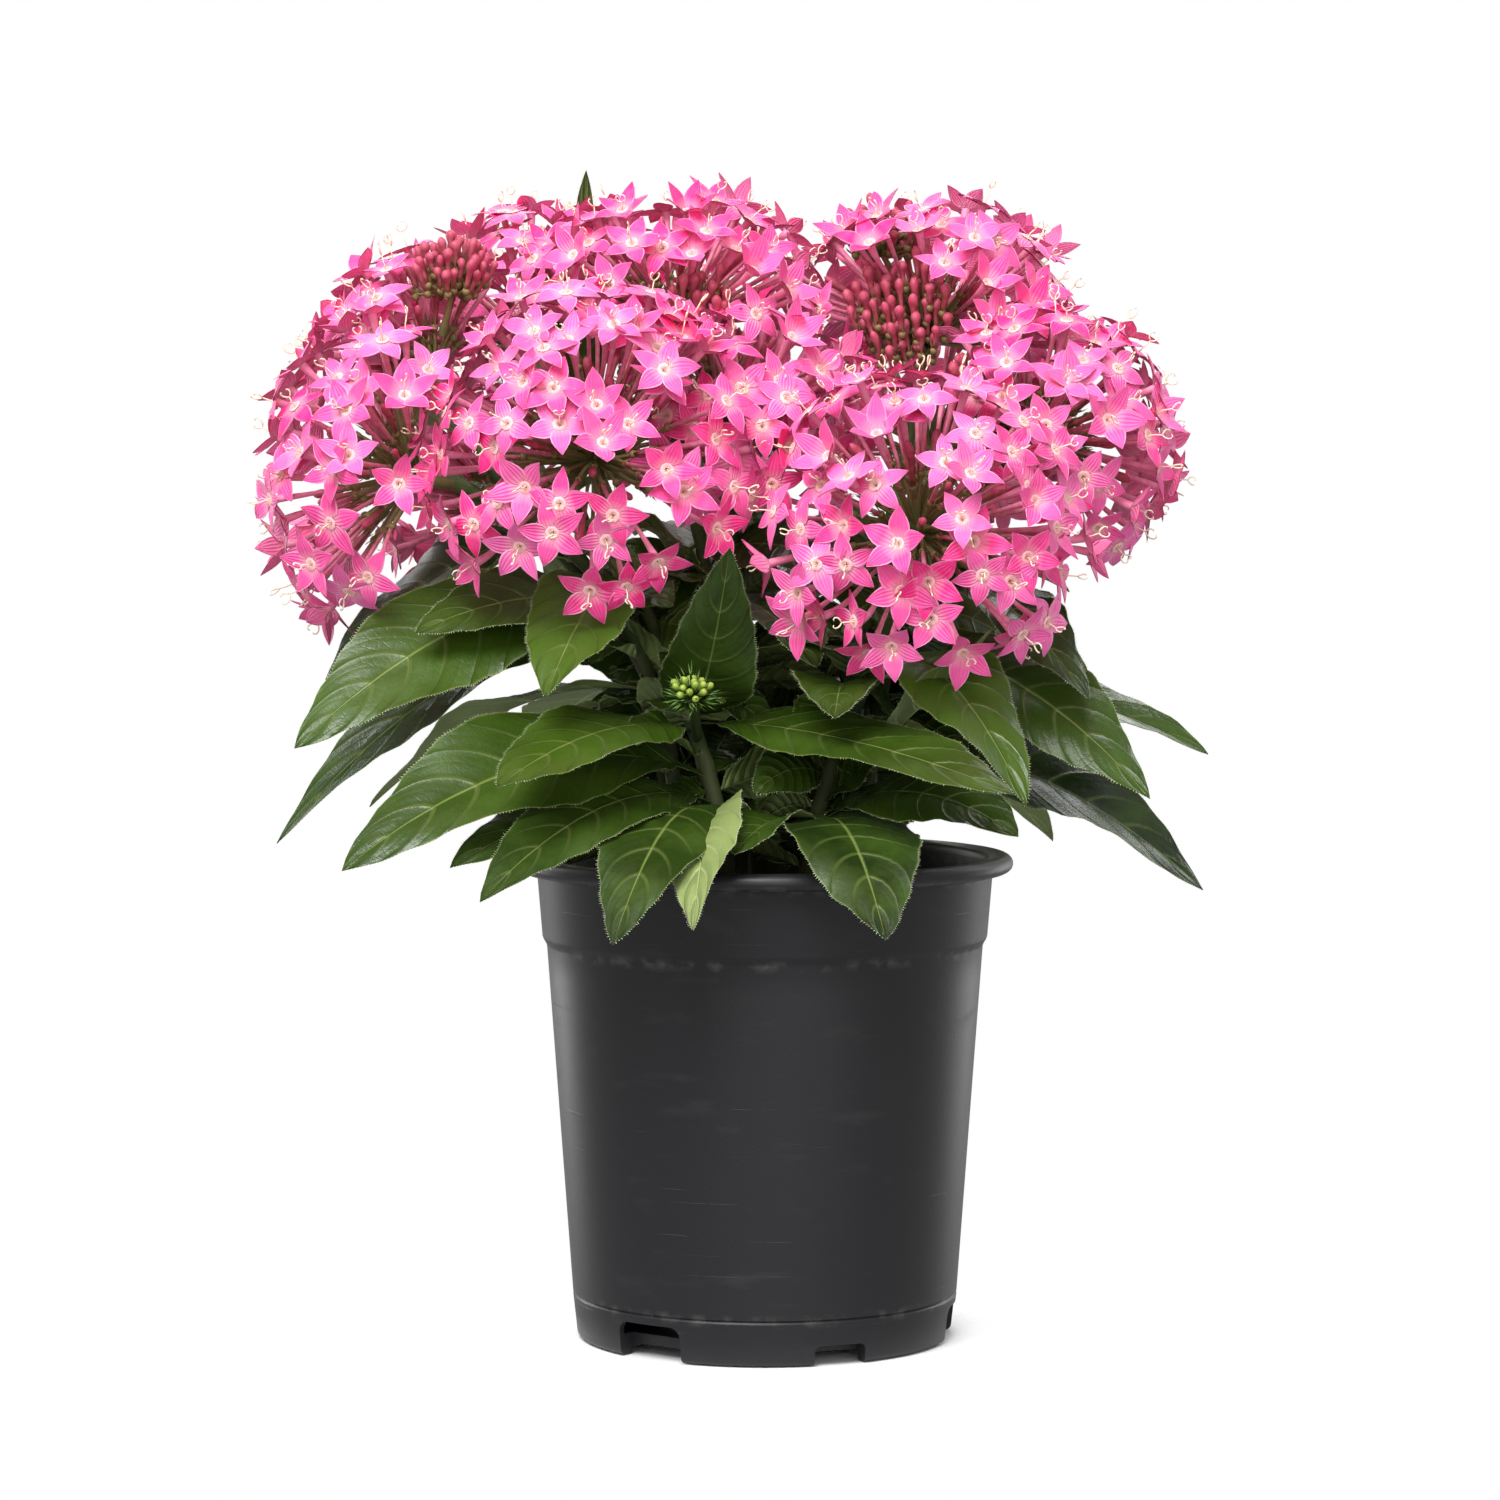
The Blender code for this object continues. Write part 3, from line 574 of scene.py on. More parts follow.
def leaf_material(name, dark, bright, vein, back=False):
    """A leaf face: pale midrib, arching side veins, fine net between them, each leaf its tone; painted
    shade darkens the sunken vein grooves and the lines of the net.
    """
    made, tree = material(name)
    across, length, tone = marks(tree)
    edge = maths(tree, "ABSOLUTE", across)
    bent = maths(tree, "MULTIPLY", maths(tree, "POWER", edge, VEIN_CURVE), VEIN_ARCH)
    arched = maths(tree, "MULTIPLY", maths(tree, "SUBTRACT", length, bent), VEIN_PAIRS)
    nearest = maths(tree, "ABSOLUTE", maths(tree, "SUBTRACT", maths(tree, "FRACT", arched), 0.5))
    bulge = maths(tree, "POWER", stepped(tree, nearest, 0.5, 0.0), 0.5)
    side_vein = maths(tree, "MULTIPLY", stepped(tree, nearest, 0.41, 0.48),
                      stepped(tree, edge, 0.3, 0.95, 1.0, 0.1))
    midrib = stepped(tree, edge, 0.012, 0.04, 1.0, 0.0)
    net = put(tree, "ShaderNodeTexVoronoi", {"Scale": 480, "Vector": own_space(tree)},
              feature="DISTANCE_TO_EDGE")
    fine = stepped(tree, net.outputs["Distance"], 0.0, 0.12)
    cloud = grain(tree, 70, 5.0)
    # Painted shade: a darker copy of the leaf colour, laid into the sunken vein grooves and along the
    # lines of the fine net.
    painted_shade = tuple(0.55 * c for c in dark)
    base = layered(
        tree, dark, (tone, bright),
        (stepped(tree, cloud, 0.42, 0.7, 0.0, 0.5), bright),
        (stepped(tree, bulge, 0.0, 0.5, 0.45, 0.0), painted_shade),
        (stepped(tree, fine, 0.0, 1.0, 0.08, 0.0), painted_shade),
        (maths(tree, "MULTIPLY", side_vein, 0.7 if back else 0.34), vein),
        (maths(tree, "MULTIPLY", midrib, 0.95 if back else 0.75), vein),
        (stepped(tree, edge, 0.965, 1.0, 0.0, 0.55), vein))
    rough = 0.65 if back else stepped(tree, cloud, 0.35, 0.7, 0.31, 0.47)
    height = maths(tree, "ADD", bulge, maths(tree, "MULTIPLY", fine, 0.035))
    height = maths(tree, "ADD", height, maths(tree, "MULTIPLY", grain(tree, 900), 0.1))
    height = maths(tree, "SUBTRACT", height, maths(tree, "MULTIPLY", midrib, 0.6))
    return finish(made, base, rough, height, -0.0007 if back else 0.0007, 0.8, 0.55)


def plain_material(name, colour, roughness, speckle):
    """One colour with fine mottling in another."""
    made, tree = material(name)
    mottle = grain(tree, 800)
    base = mixed(tree, stepped(tree, mottle, 0.35, 0.7, 0.0, 0.8), colour, speckle)
    return finish(made, base, roughness, mottle, 0.00005)


def pot_material():
    """Black moulded plastic: a satin with flow lines, fine scratches, and dust at its ridges."""
    made, tree = material("pot_plastic")
    flow = grain(tree, 18, 5.0, (1.0, 1.0, 0.12))
    rubbed = stepped(tree, grain(tree, 55, 8.0, (1.0, 1.0, 3.5)), 0.6, 0.78, 0.0, 0.6)
    scratch = stepped(tree, grain(tree, 30, 6.0, (1.0, 1.0, 42.0)), 0.68, 0.74)
    up = parts(tree, own_space(tree))[2]
    dust = 0.0
    for height in (FOOT_BAND_HEIGHT + SEAM_HEIGHT / 2, POT_HEIGHT - COLLAR_HEIGHT - STEP_HEIGHT,
                   POT_HEIGHT - LIP_HEIGHT):
        away = maths(tree, "ABSOLUTE", maths(tree, "SUBTRACT", up, height * MM))
        dust = maths(tree, "MAXIMUM", dust, stepped(tree, away, 0.0, 0.0018, 1.0, 0.0))
    dust = maths(tree, "MULTIPLY", dust, stepped(tree, grain(tree, 260, 6.0), 0.48, 0.66))
    base = layered(
        tree, (0.0115, 0.0115, 0.0135), (flow, (0.0165, 0.0165, 0.0185)),
        (rubbed, (0.028, 0.028, 0.029)),
        (maths(tree, "MULTIPLY", scratch, 0.35), (0.05, 0.05, 0.05)),
        (maths(tree, "MULTIPLY", dust, 0.45), (0.12, 0.115, 0.105)))
    rough = maths(tree, "ADD", stepped(tree, flow, 0.3, 0.7, 0.38, 0.46),
                  maths(tree, "MULTIPLY", rubbed, 0.15))
    height = maths(tree, "ADD", maths(tree, "MULTIPLY", grain(tree, 1400, 2.0), 0.5), flow)
    return finish(made, base, rough, maths(tree, "ADD", height, scratch), 0.00005, shine=0.38)


def soil_material():
    """Dark damp potting mix: brown to black crumbs."""
    made, tree = material("potting_soil")
    coarse, fine = grain(tree, 160, 6.0), grain(tree, 900, 4.0)
    base = layered(tree, (0.010, 0.007, 0.005),
                   (stepped(tree, coarse, 0.35, 0.65), (0.045, 0.028, 0.017)),
                   (stepped(tree, fine, 0.6, 0.75, 0.0, 0.7), (0.10, 0.065, 0.04)))
    return finish(made, base, 0.9, maths(tree, "ADD", coarse, fine), 0.0008)


# Pot

def arc(centre, radii, first, step, count):
    """Points of an arc of an ellipse, its angles in degrees."""
    angles = [math.radians(first + step * k) for k in range(count)]
    return [(centre[0] + radii[0] * math.cos(a), centre[1] + radii[1] * math.sin(a))
            for a in angles]


def object_from(shape, name):
    """An object with the shape's mesh, its faces turned outward."""
    bmesh.ops.recalc_face_normals(shape, faces=shape.faces)
    mesh = bpy.data.meshes.new(name)
    shape.to_mesh(mesh)
    shape.free()
    return bpy.data.objects.new(name, mesh)


def pot_profile():
    """Half of the pot's section from the middle of its underside to the middle of its floor."""
    step = POT_HEIGHT - COLLAR_HEIGHT
    lip = POT_HEIGHT - LIP_HEIGHT
    ring = FOOT_RADIUS - FOOT_RING_WIDTH
    band = FOOT_BAND_TOP_RADIUS
    profile = [(0.0, 0.0), (PAD_RADIUS, 0.0), (PAD_RADIUS + 1.5, FLOOR_UNDERSIDE),
               (ring - 1.0, FLOOR_UNDERSIDE), (ring, 0.0)]
    profile += arc((FOOT_RADIUS - FOOT_ROUNDING, FOOT_ROUNDING), (FOOT_ROUNDING, FOOT_ROUNDING),
                   -90, 22.5, 5)
    profile += [(band - 0.55, FOOT_BAND_HEIGHT - 0.15),
                (band - 0.6 - SEAM_DEPTH, FOOT_BAND_HEIGHT + SEAM_HEIGHT * 0.45),
                (band - 0.5, FOOT_BAND_HEIGHT + SEAM_HEIGHT)]
    low, high = COLLAR_FOOT_RADIUS - STEP_DEPTH, step - STEP_HEIGHT
    for k in range(1, 12):
        t = k / 12
        profile.append((band - 0.5 + (low - band + 0.5) * t, FOOT_BAND_HEIGHT + SEAM_HEIGHT
                        + (high - FOOT_BAND_HEIGHT - SEAM_HEIGHT) * t))
    profile += [(low, high), (low + 0.25, high + 0.7), (COLLAR_FOOT_RADIUS - 0.25, step - 0.7),
                (COLLAR_FOOT_RADIUS, step), (COLLAR_TOP_RADIUS, lip - 0.8),
                (COLLAR_TOP_RADIUS + 0.3, lip - 0.1), (COLLAR_TOP_RADIUS + 1.0, lip)]
    middle = RIM_RADIUS - LIP_WIDTH / 2
    profile += arc((middle, lip + LIP_HEIGHT / 2), (LIP_WIDTH / 2, LIP_HEIGHT / 2), -70, 20, 9)
    inner = COLLAR_TOP_RADIUS - WALL
    profile += [(middle - 1.0, POT_HEIGHT - 0.05), (inner + 0.9, POT_HEIGHT - 0.5),
                (inner + 0.2, POT_HEIGHT - 1.3), (inner, POT_HEIGHT - 2.6),
                (COLLAR_FOOT_RADIUS - WALL, step), (low - WALL, high),
                (FOOT_RADIUS - WALL + 0.2, FLOOR_UNDERSIDE + FLOOR + 1.0),
                (0.0, FLOOR_UNDERSIDE + FLOOR)]
    return profile


def notch_cutter(width, height, turn):
    """A block through the foot of the wall with rounded upper corners."""
    half, corner = width / 2, 0.3 * height
    outline = [(-half, -1.0), (half, -1.0)]
    for across, first in ((half - corner, 0), (corner - half, 90)):
        outline += arc((across, height - corner), (corner, corner), first, 22.5, 5)
    near, far = FOOT_RADIUS - FOOT_RING_WIDTH - 1.5, FOOT_RADIUS + 4.0
    spin = Matrix.Rotation(turn, 3, "Z")
    points = [spin @ Vector((reach, across, up)) * MM for reach in (near, far)
              for across, up in outline]
    count = len(outline)
    shape = bmesh.new()
    rim = [shape.verts.new(p) for p in points]
    shape.faces.new(rim[:count])
    shape.faces.new(rim[count:])
    for i in range(count):
        j = (i + 1) % count
        shape.faces.new((rim[i], rim[j], rim[j + count], rim[i + count]))
    return object_from(shape, "notch_cutter")


def cut_notches(pot):
    """Takes the drain notches out of the pot's foot."""
    group = bpy.data.collections.new("cutters")
    bpy.context.scene.collection.children.link(group)
    for index in range(NOTCH_COUNT):
        width, height = NOTCH_SIZES[index % 2]
        turn = math.tau * index / NOTCH_COUNT + math.radians(FIRST_NOTCH_TURN)
        group.objects.link(notch_cutter(width, height, turn))
    cut = pot.modifiers.new("notches", "BOOLEAN")
    cut.operation = "DIFFERENCE"
    cut.operand_type = "COLLECTION"
    cut.collection = group
    cut.solver = "EXACT"
    graph = bpy.context.evaluated_depsgraph_get()
    pot_cut = bpy.data.meshes.new_from_object(pot.evaluated_get(graph))
    pot.modifiers.clear()
    pot.data = pot_cut
    for cutter in list(group.objects):
        bpy.data.objects.remove(cutter)
    bpy.data.collections.remove(group)


def make_pot():
    """The turned shell with its notches cut out."""
    shape = bmesh.new()
    line = [shape.verts.new((r * MM, 0.0, h * MM)) for r, h in pot_profile()]
    edges = [shape.edges.new(pair) for pair in zip(line, line[1:])]
    bmesh.ops.spin(shape, geom=line + edges, cent=(0, 0, 0), axis=(0, 0, 1), angle=math.tau,
                   steps=POT_SIDES, use_duplicate=False)
    bmesh.ops.remove_doubles(shape, verts=shape.verts, dist=1e-6)
    pot = object_from(shape, "pot_shell")
    bpy.context.scene.collection.objects.link(pot)
    cut_notches(pot)
    pot.data.materials.clear()
    pot.data.materials.append(pot_material())
    pot.data.shade_smooth()
    pot.data.set_sharp_from_angle(angle=math.radians(38))
    return place(pot, "pot")


# Soil

def soil_height(x, y):
    spot = Vector((x, y, 0.0))
    return (SOIL_TOP + 3.2 * noise.noise(spot * 0.06) + 1.3 * noise.noise(spot * 0.25)
            + 0.6 * noise.noise(spot * 0.8))


def add_crumb(pile, edge, index, draw):
    """A loose crumb on the soil within the edge. Every fifth is a bit of bark."""
    reach, angle = edge * 0.97 * math.sqrt(draw.random()), draw.uniform(0, math.tau)
    x, y = reach * math.cos(angle), reach * math.sin(angle)
    size = draw.uniform(0.5, 1.7)
    crumb = bmesh.new()
    bmesh.ops.create_icosphere(crumb, subdivisions=1, radius=size)
    stretch = Vector((draw.uniform(0.7, 2.2), draw.uniform(0.5, 1.0), draw.uniform(0.4, 0.9)))
    turn = Matrix.Rotation(draw.uniform(0, math.tau), 3, "Z")
    spot = Vector((x, y, soil_height(x, y) + size * 0.2))
    corners = []
    for vertex in crumb.verts:
        rough = 1.0 + 0.35 * noise.noise(vertex.co * 1.3 + Vector((index, 0, 0)))
        corners.append(tuple(spot + turn @ Vector(a * b * rough for a, b in zip(vertex.co, stretch))))
    faces = [[v.index for v in face.verts] for face in crumb.faces]
    crumb.free()
    pile.add(corners, faces, BARK if index % 5 == 0 else SOIL)


def make_soil():
    """An uneven surface with loose crumbs on it."""
    pile = Pile()
    edge = COLLAR_FOOT_RADIUS - WALL - 0.5
    points = []
    for ring in range(SOIL_RINGS + 2):
        radius = edge * min(1.0, ring / SOIL_RINGS)
        for side in range(SOIL_SIDES):
            angle = math.tau * side / SOIL_SIDES
            x, y = radius * math.cos(angle), radius * math.sin(angle)
            height = soil_height(x, y) if ring <= SOIL_RINGS else SOIL_TOP - SOIL_EDGE_DEPTH
            points.append((x, y, height))
    pile.add(points, grid_faces(SOIL_RINGS + 2, SOIL_SIDES, closed=True), SOIL)
    draw = random.Random("crumbs")
    for index in range(CRUMB_COUNT):
        add_crumb(pile, edge, index, draw)
    bark = plain_material("bark_bits", (0.09, 0.05, 0.028), 0.9, (0.03, 0.018, 0.01))
    return pile.make("soil_mix", [soil_material(), bark], "soil")


# Leaves

def leaf_lines(leaf, base, rows):
    """The midline of a leaf with its across and up directions and half width at each row."""
    tip, width, arch, roll = leaf[1:]
    base, tip = Vector(base), Vector(tip)
    middle = base.lerp(tip, 0.45) + Vector((0, 0, arch * 2.0))
    stations = np.linspace(0, 1, rows)
    halves = width / 2 * leaf_width(stations)
    lines = []
    for t, half in zip(stations, halves):
        spot = base.lerp(middle, t).lerp(middle.lerp(tip, t), t)
        ahead = (middle - base).lerp(tip - middle, t).normalized()
        across = ahead.cross(Vector((0, 0, 1)))
        if across.length < 0.2:
            across = ahead.cross(Vector((tip.x - base.x, tip.y - base.y, 0.3)))
        across = Matrix.Rotation(math.radians(roll), 3, ahead) @ across.normalized()
        lines.append((spot, across, across.cross(ahead), half))
    return lines


def leaf_width(t):
    """Half width of an ovate blade on a short stalk, from 0 at its long pointed tip to 1."""
    blade = np.clip((t - 0.1) / 0.9, 0, 1)
    oval = np.sin(math.pi * blade ** 0.9) ** 0.8 * (1.0 - 0.1 * blade)
    return np.maximum(oval * 1.05, 0.05 * (1 - t) + 0.004)


def blade_rise(s, t, half, wave, phase, fold):
    """How far a blade stands above its plane: folded, quilted between veins, waved at its edge."""
    between = ((t - VEIN_ARCH * abs(s) ** VEIN_CURVE) * VEIN_PAIRS) % 1.0 - 0.5
    quilt = 0.8 * (math.cos(between * math.tau) * 0.5 + 0.5) * min(1.0, half / 8.0)
    quilt *= min(1.0, abs(s) * 4.0) * (1.0 - 0.5 * abs(s))
    edge = wave * math.sin(t * 13.0 + phase + (1.5 if s > 0 else 0.0)) * s * s
    return fold * half * abs(s) - 0.10 * half * s * s + quilt + edge * min(1.0, half / 9.0)


def ring_round(rows, columns):
    """The numbers of a grid's outer points, in order round it."""
    ring = list(range(columns)) + [row * columns + columns - 1 for row in range(1, rows)]
    ring += [(rows - 1) * columns + column for column in range(columns - 2, -1, -1)]
    return ring + [row * columns for row in range(rows - 2, 0, -1)]


def add_leaf(pile, leaf, base, draw, rows=LEAF_ROWS, wide=LEAF_COLUMNS + 1):
    """A blade with two faces, an edge between them and hairs along it."""
    lines = leaf_lines(leaf, base, rows)
    columns = np.linspace(-1, 1, wide)
    columns = np.sign(columns) * np.abs(columns) ** 0.9
    place_on_stem, tip = leaf[:2]
    # A leaf low on its stem, under the upper foliage, has its tone held darker.
    tone = draw.random() * min(1.0, 0.35 + place_on_stem)
    phase, wave = draw.uniform(0, 6.28), draw.uniform(0.8, 2.4)
    fold = draw.uniform(0.10, 0.32)
    top, low, info = [], [], []
    for row, (rib, across, up, half) in enumerate(lines):
        t = row / (rows - 1)
        for s in columns:
            tooth = 0.25 * math.sin(t * 70.0 + phase) * (1.0 if abs(s) > 0.99 else 0.0)
            spot = rib + across * (s * half + tooth * s * min(1.0, half / 6))
            spot += up * blade_rise(s, t, half, wave, phase, fold)
            thick = LEAF_THICKNESS / 2 * (1.0 - 0.6 * abs(s))
            keel = 0.35 * max(0.0, 1 - abs(s) * 7) * (1.0 - t)
            top.append(tuple(spot + up * thick))
            low.append(tuple(spot - up * (thick + keel)))
            info.append((s, t, tone))
    upper, under = LEAF_FACE, LEAF_BACK
    if tip == TURNED_LEAF_TIP:
        upper, under = LEAF_BACK, LEAF_FACE
    pile.add(top, grid_faces(rows, wide, flip=True), upper, info)
    pile.add(low, grid_faces(rows, wide), under, info)
    ring = ring_round(rows, wide)
    pile.add([top[i] for i in ring] + [low[i] for i in ring],
             grid_faces(2, len(ring), closed=True, flip=True), upper,
             [(1.0, info[i][1], tone) for i in ring] * 2)
    add_hairs(pile, lines, top[::wide], top[wide - 1::wide], draw)


def add_hairs(pile, lines, left, right, draw):
    """Short pale hairs that stand out along both margins."""
    points, faces = [], []
    for row in range(3, len(lines) - 1):
        across, up = lines[row][1:3]
        for side, margin in ((-1, left), (1, right)):
            here, after = Vector(margin[row]), Vector(margin[row + 1])
            ahead = (after - here).normalized()
            for part in (0.0, 0.33, 0.67):
                root = here.lerp(after, part)
                way = (across * side + ahead * draw.uniform(0.0, 0.9)
                       + up * draw.uniform(-0.5, 0.6)).normalized()
                index = len(points)
                points += [tuple(root - ahead * 0.07), tuple(root + ahead * 0.07),
                           tuple(root + way * draw.uniform(0.3, 0.75))]
                faces.append((index, index + 1, index + 2))
    pile.add(points, faces, HAIR)


def add_axil_leaves(pile, path, draw):
    """Pairs of small young leaves that stand in the axils along a stem."""
    for share in AXIL_PLACES:
        base = along(path, share)
        turn = draw.uniform(0, 360)
        for side in (0, 180):
            way = direction(turn + side + draw.uniform(-20, 20), draw.uniform(-25, 40))
            tip = base + way * draw.uniform(20, 32)
            if Vector((tip.x, tip.y)).length > AXIL_REACH or tip.z < POT_HEIGHT - 4:
                continue
            leaf = (share, tuple(tip), draw.uniform(12, 18), draw.uniform(0, 4),
                    draw.uniform(-60, 60))
            add_leaf(pile, leaf, base, draw, AXIL_ROWS, AXIL_COLUMNS)


def add_stem(pile, path, thick, draw):
    """A stem that tapers to its top and swells a little at each pair of leaves."""
    fine = smooth_path(path, 6)
    count = len(fine)
    radii = [thick + (STEM_TOP_RADIUS - thick) * i / (count - 1) for i in range(count)]
    swell = [1.0 + 0.22 * max(0.0, math.cos(i * math.tau / 9.0)) ** 8 for i in range(count)]
    add_bar(pile, fine, [r * s for r, s in zip(radii, swell)], STEM_SIDES, STEM, draw.random())


def add_rosette(pile, path, draw):
    """Young green buds on a short stalk, in a crowd of narrow spiky teeth."""
    centre = Vector(ROSETTE_CENTRE)
    base = along(path, ROSETTE_PLACE)
    stalk = smooth_path([base, base.lerp(centre, 0.5) + Vector((0, 0, 3)), centre], 6)
    add_bar(pile, stalk, 1.2, 8, STEM, length=0.6)
    toward = Vector((0, -0.55, 1)).normalized()
    for way in spiral(toward, 60, 16, 0.4):
        root, tip = centre + way, centre + way * draw.uniform(5.0, 6.6)
        shape = [root.lerp(tip, t) for t in (0, 0.5, 0.75, 0.92, 1)]
        add_bar(pile, shape, [0.4, 0.45, 0.85, 0.8, 0.2], 7, ROSETTE, draw.random())
    for way in spiral(toward, 112, 90, 1.1):
        foot = centre + way * draw.uniform(1.5, 4.2)
        out = scatter(draw) * 0.22
        flank = way.cross(Vector((draw.gauss(0, 1), draw.gauss(0, 1), 1))).normalized() * 0.45
        end = foot + (way + out).normalized() * draw.uniform(2.8, 5.5)
        ridge = foot.lerp(end, 0.4) + flank.cross(way) * 0.5
        rib = [foot - flank, foot + flank, end, ridge]
        pile.add([tuple(p) for p in rib], [(0, 1, 3), (1, 2, 3), (2, 0, 3), (0, 2, 1)], ROSETTE,
                 (0, 0.12, 0.4))


def make_stems(paints):
    for name, (foot, heads) in STEMS.items():
        draw = random.Random(name)
        pile = Pile()
        main = stem_path(foot, heads[0])
        add_stem(pile, main, STEM_FOOT_RADIUS, draw)
        for head in heads[1:]:
            add_stem(pile, branch_path(main, head), BRANCH_RADIUS, draw)
        for leaf in LEAVES[name]:
            add_leaf(pile, leaf, along(main, leaf[0]), draw)
        add_axil_leaves(pile, main, random.Random("axils " + name))
        if name == ROSETTE_STEM:
            add_rosette(pile, main, draw)
        pile.make(name + "_leaves", paints, name)


# Florets

def petal_points(cup, droop, twist, length, width, fold):
    """One lanceolate petal along +X from the throat: its points, with across and along numbers."""
    t = np.linspace(0, 1, PETAL_ROWS)[:, None]
    s = np.linspace(-1, 1, PETAL_COLUMNS)[None, :]
    oval = t ** 0.7 * (1 - t) ** 1.15 / 0.287
    half = width / 2 * np.maximum(oval + 0.3 * (1 - t) ** 3, 0.01)
    run = THROAT_RADIUS * 0.85 + length * t * (1 - 0.22 * cup * cup) + 0 * s
    rise = length * (cup * t - droop * t * t) + 0 * s
    rise = rise + fold * half * np.abs(s) - 0.22 * half * s * s + twist * half * s * t
    points = np.stack([run, half * s + 0 * t, rise], -1).reshape(-1, 3)
    info = np.stack([0 * t + s, t + 0 * s], -1).reshape(-1, 2)
    return points, info


def spokes(angle):
    """The outward and the sideways direction at an angle about Z."""
    x, y = math.cos(angle), math.sin(angle)
    return np.array([x, y, 0.0]), np.array([-y, x, 0.0])


def onto(points, turn, face):
    """Points about the origin, moved to a floret's face."""
    return np.asarray(points) @ turn.T + np.array(face)


def add_floret(pile, root, face, normal, draw, tone, opened=1.0):
    """A star of five petals at the face on a tube that rises from its calyx at the root."""
    root, face, normal = Vector(root), Vector(face), Vector(normal).normalized()
    turn = np.array(frame_along(normal)) @ np.array(Matrix.Rotation(draw.uniform(0, 6.28), 3, "Z"))
    size = draw.uniform(0.88, 1.1)
    cup = min(0.85, max(-0.1, draw.gauss(0.34, 0.24))) + (1 - opened) * 1.1
    droop = draw.uniform(0.0, 0.32)
    petal_faces = grid_faces(PETAL_ROWS, PETAL_COLUMNS)
    for k in range(5):
        points, info = petal_points(
            cup + draw.uniform(-0.08, 0.08), droop + draw.uniform(-0.06, 0.06),
            draw.uniform(-0.35, 0.35), PETAL_LENGTH * size * draw.uniform(0.92, 1.06),
            PETAL_WIDTH * size * draw.uniform(0.92, 1.08), draw.uniform(0.1, 0.45))
        angle = k * math.tau / 5 + draw.uniform(-0.06, 0.06)
        points = points @ np.array([*spokes(angle), (0, 0, 1)])
        info = np.column_stack([info, np.full(len(info), tone)])
        pile.add(onto(points, turn, face), petal_faces, PETAL_FACE, info)
        low = points - np.array([0, 0, PETAL_THICKNESS])
        pile.add(onto(low, turn, face), petal_faces[:, ::-1], PETAL_BACK, info)
    add_throat(pile, face, turn, draw, tone)
    bend = (face - root).length * 0.3
    mouth = face - normal * 0.1
    path = [curve_point(root, root + (face - root) * 0.35, mouth - normal * bend, mouth, i / 7)
            for i in range(8)]
    radii = [0.55, 0.55, 0.57, 0.62, 0.7, 0.82, 1.02, THROAT_RADIUS]
    add_bar(pile, path, radii, 6, FLORET_TUBE, tone, cap=False)
    add_calyx(pile, root, path[1] - path[0], draw)
    if opened > 0.6:
        add_style(pile, face, turn, draw)


def add_throat(pile, face, turn, draw, tone):
    """The pale mouth of the tube with its crown of short hairs."""
    angles = np.arange(THROAT_SIDES) * math.tau / THROAT_SIDES
    rings = []
    for radius, height in ((1.5, 0.25), (1.1, 0.55), (0.65, 0.25), (0.25, -0.4)):
        flat = THROAT_RADIUS * radius
        rings.append(np.stack([flat * np.cos(angles), flat * np.sin(angles),
                               np.full(THROAT_SIDES, height)], -1))
    share = np.repeat([0.0, 0.15, 0.5, 1.0], THROAT_SIDES)
    pile.add(onto(np.concatenate(rings), turn, face), grid_faces(4, THROAT_SIDES, closed=True), THROAT,
             np.stack([share, share, share * 0 + tone], -1))
    spikes, faces = [], []
    for k in range(12):
        angle = k * math.tau / 12 + draw.uniform(-0.2, 0.2)
        radius = THROAT_RADIUS * draw.uniform(0.5, 1.0)
        out, flank = spokes(angle)
        flank = flank * 0.12
        tip = out * radius * draw.uniform(0.3, 0.9) + np.array([0, 0, draw.uniform(0.7, 1.3)])
        spikes += [out * radius - flank, out * radius + flank, tip]
        faces.append((3 * k, 3 * k + 1, 3 * k + 2))
    pile.add(onto(spikes, turn, face), faces, CREAM, (0, 0.5, 0.5))


def add_style(pile, face, turn, draw):
    """The cream style that stands out of the throat and forks into two curled arms."""
    height = draw.uniform(2.2, 4.6)
    lean = draw.uniform(0, 6.28)
    top = np.array([0.7 * math.cos(lean), 0.7 * math.sin(lean), height])
    stalk = [np.array([0, 0, -1.2]), top * 0.5 * np.array([0.6, 0.6, 1.0]), top]
    add_bar(pile, onto(stalk, turn, face), 0.16, 4, CREAM)
    fork = draw.uniform(0, 6.28)
    for side in (0.0, math.pi):
        out = spokes(fork + side)[0]
        curl = draw.uniform(0.55, 1.15)
        lift = draw.uniform(0.3, 1.2)
        arm = [top + out * (curl * math.sin(a) + 0.25 * a)
               + np.array([0, 0, curl * (1 - math.cos(a)) * 0.9 + lift * math.sin(a / 2)])
               for a in (0.0, 0.6, 1.3, 2.1, 3.0, 3.8)]
        add_bar(pile, onto(arm, turn, face), [0.16, 0.19, 0.2, 0.19, 0.17, 0.12], 4, CREAM)


def add_calyx(pile, root, way, draw):
    """The small green seed case under the tube, with five narrow sepals."""
    way = Vector(way).normalized()
    body = [root - way * 1.9, root - way * 1.2, root - way * 0.4, root + way * 0.1]
    add_bar(pile, body, [0.35, 0.95, 1.0, 0.7], 7, GREEN)
    turn = frame_along(way)
    for k in range(5):
        angle = k * math.tau / 5 + draw.uniform(-0.2, 0.2)
        out, flank = (turn @ Vector(spoke) for spoke in spokes(angle))
        foot = root + out * 0.6 - way * 0.1
        end = foot + way * draw.uniform(1.6, 3.2) + out * draw.uniform(0.4, 1.3)
        pile.add([tuple(p) for p in (foot - flank * 0.32, foot + flank * 0.32, end,
                                     foot.lerp(end, 0.5) + out * 0.25)],
                 [(0, 1, 3), (1, 2, 3), (2, 0, 3)], GREEN, (0.5, 0.8, 0.5))


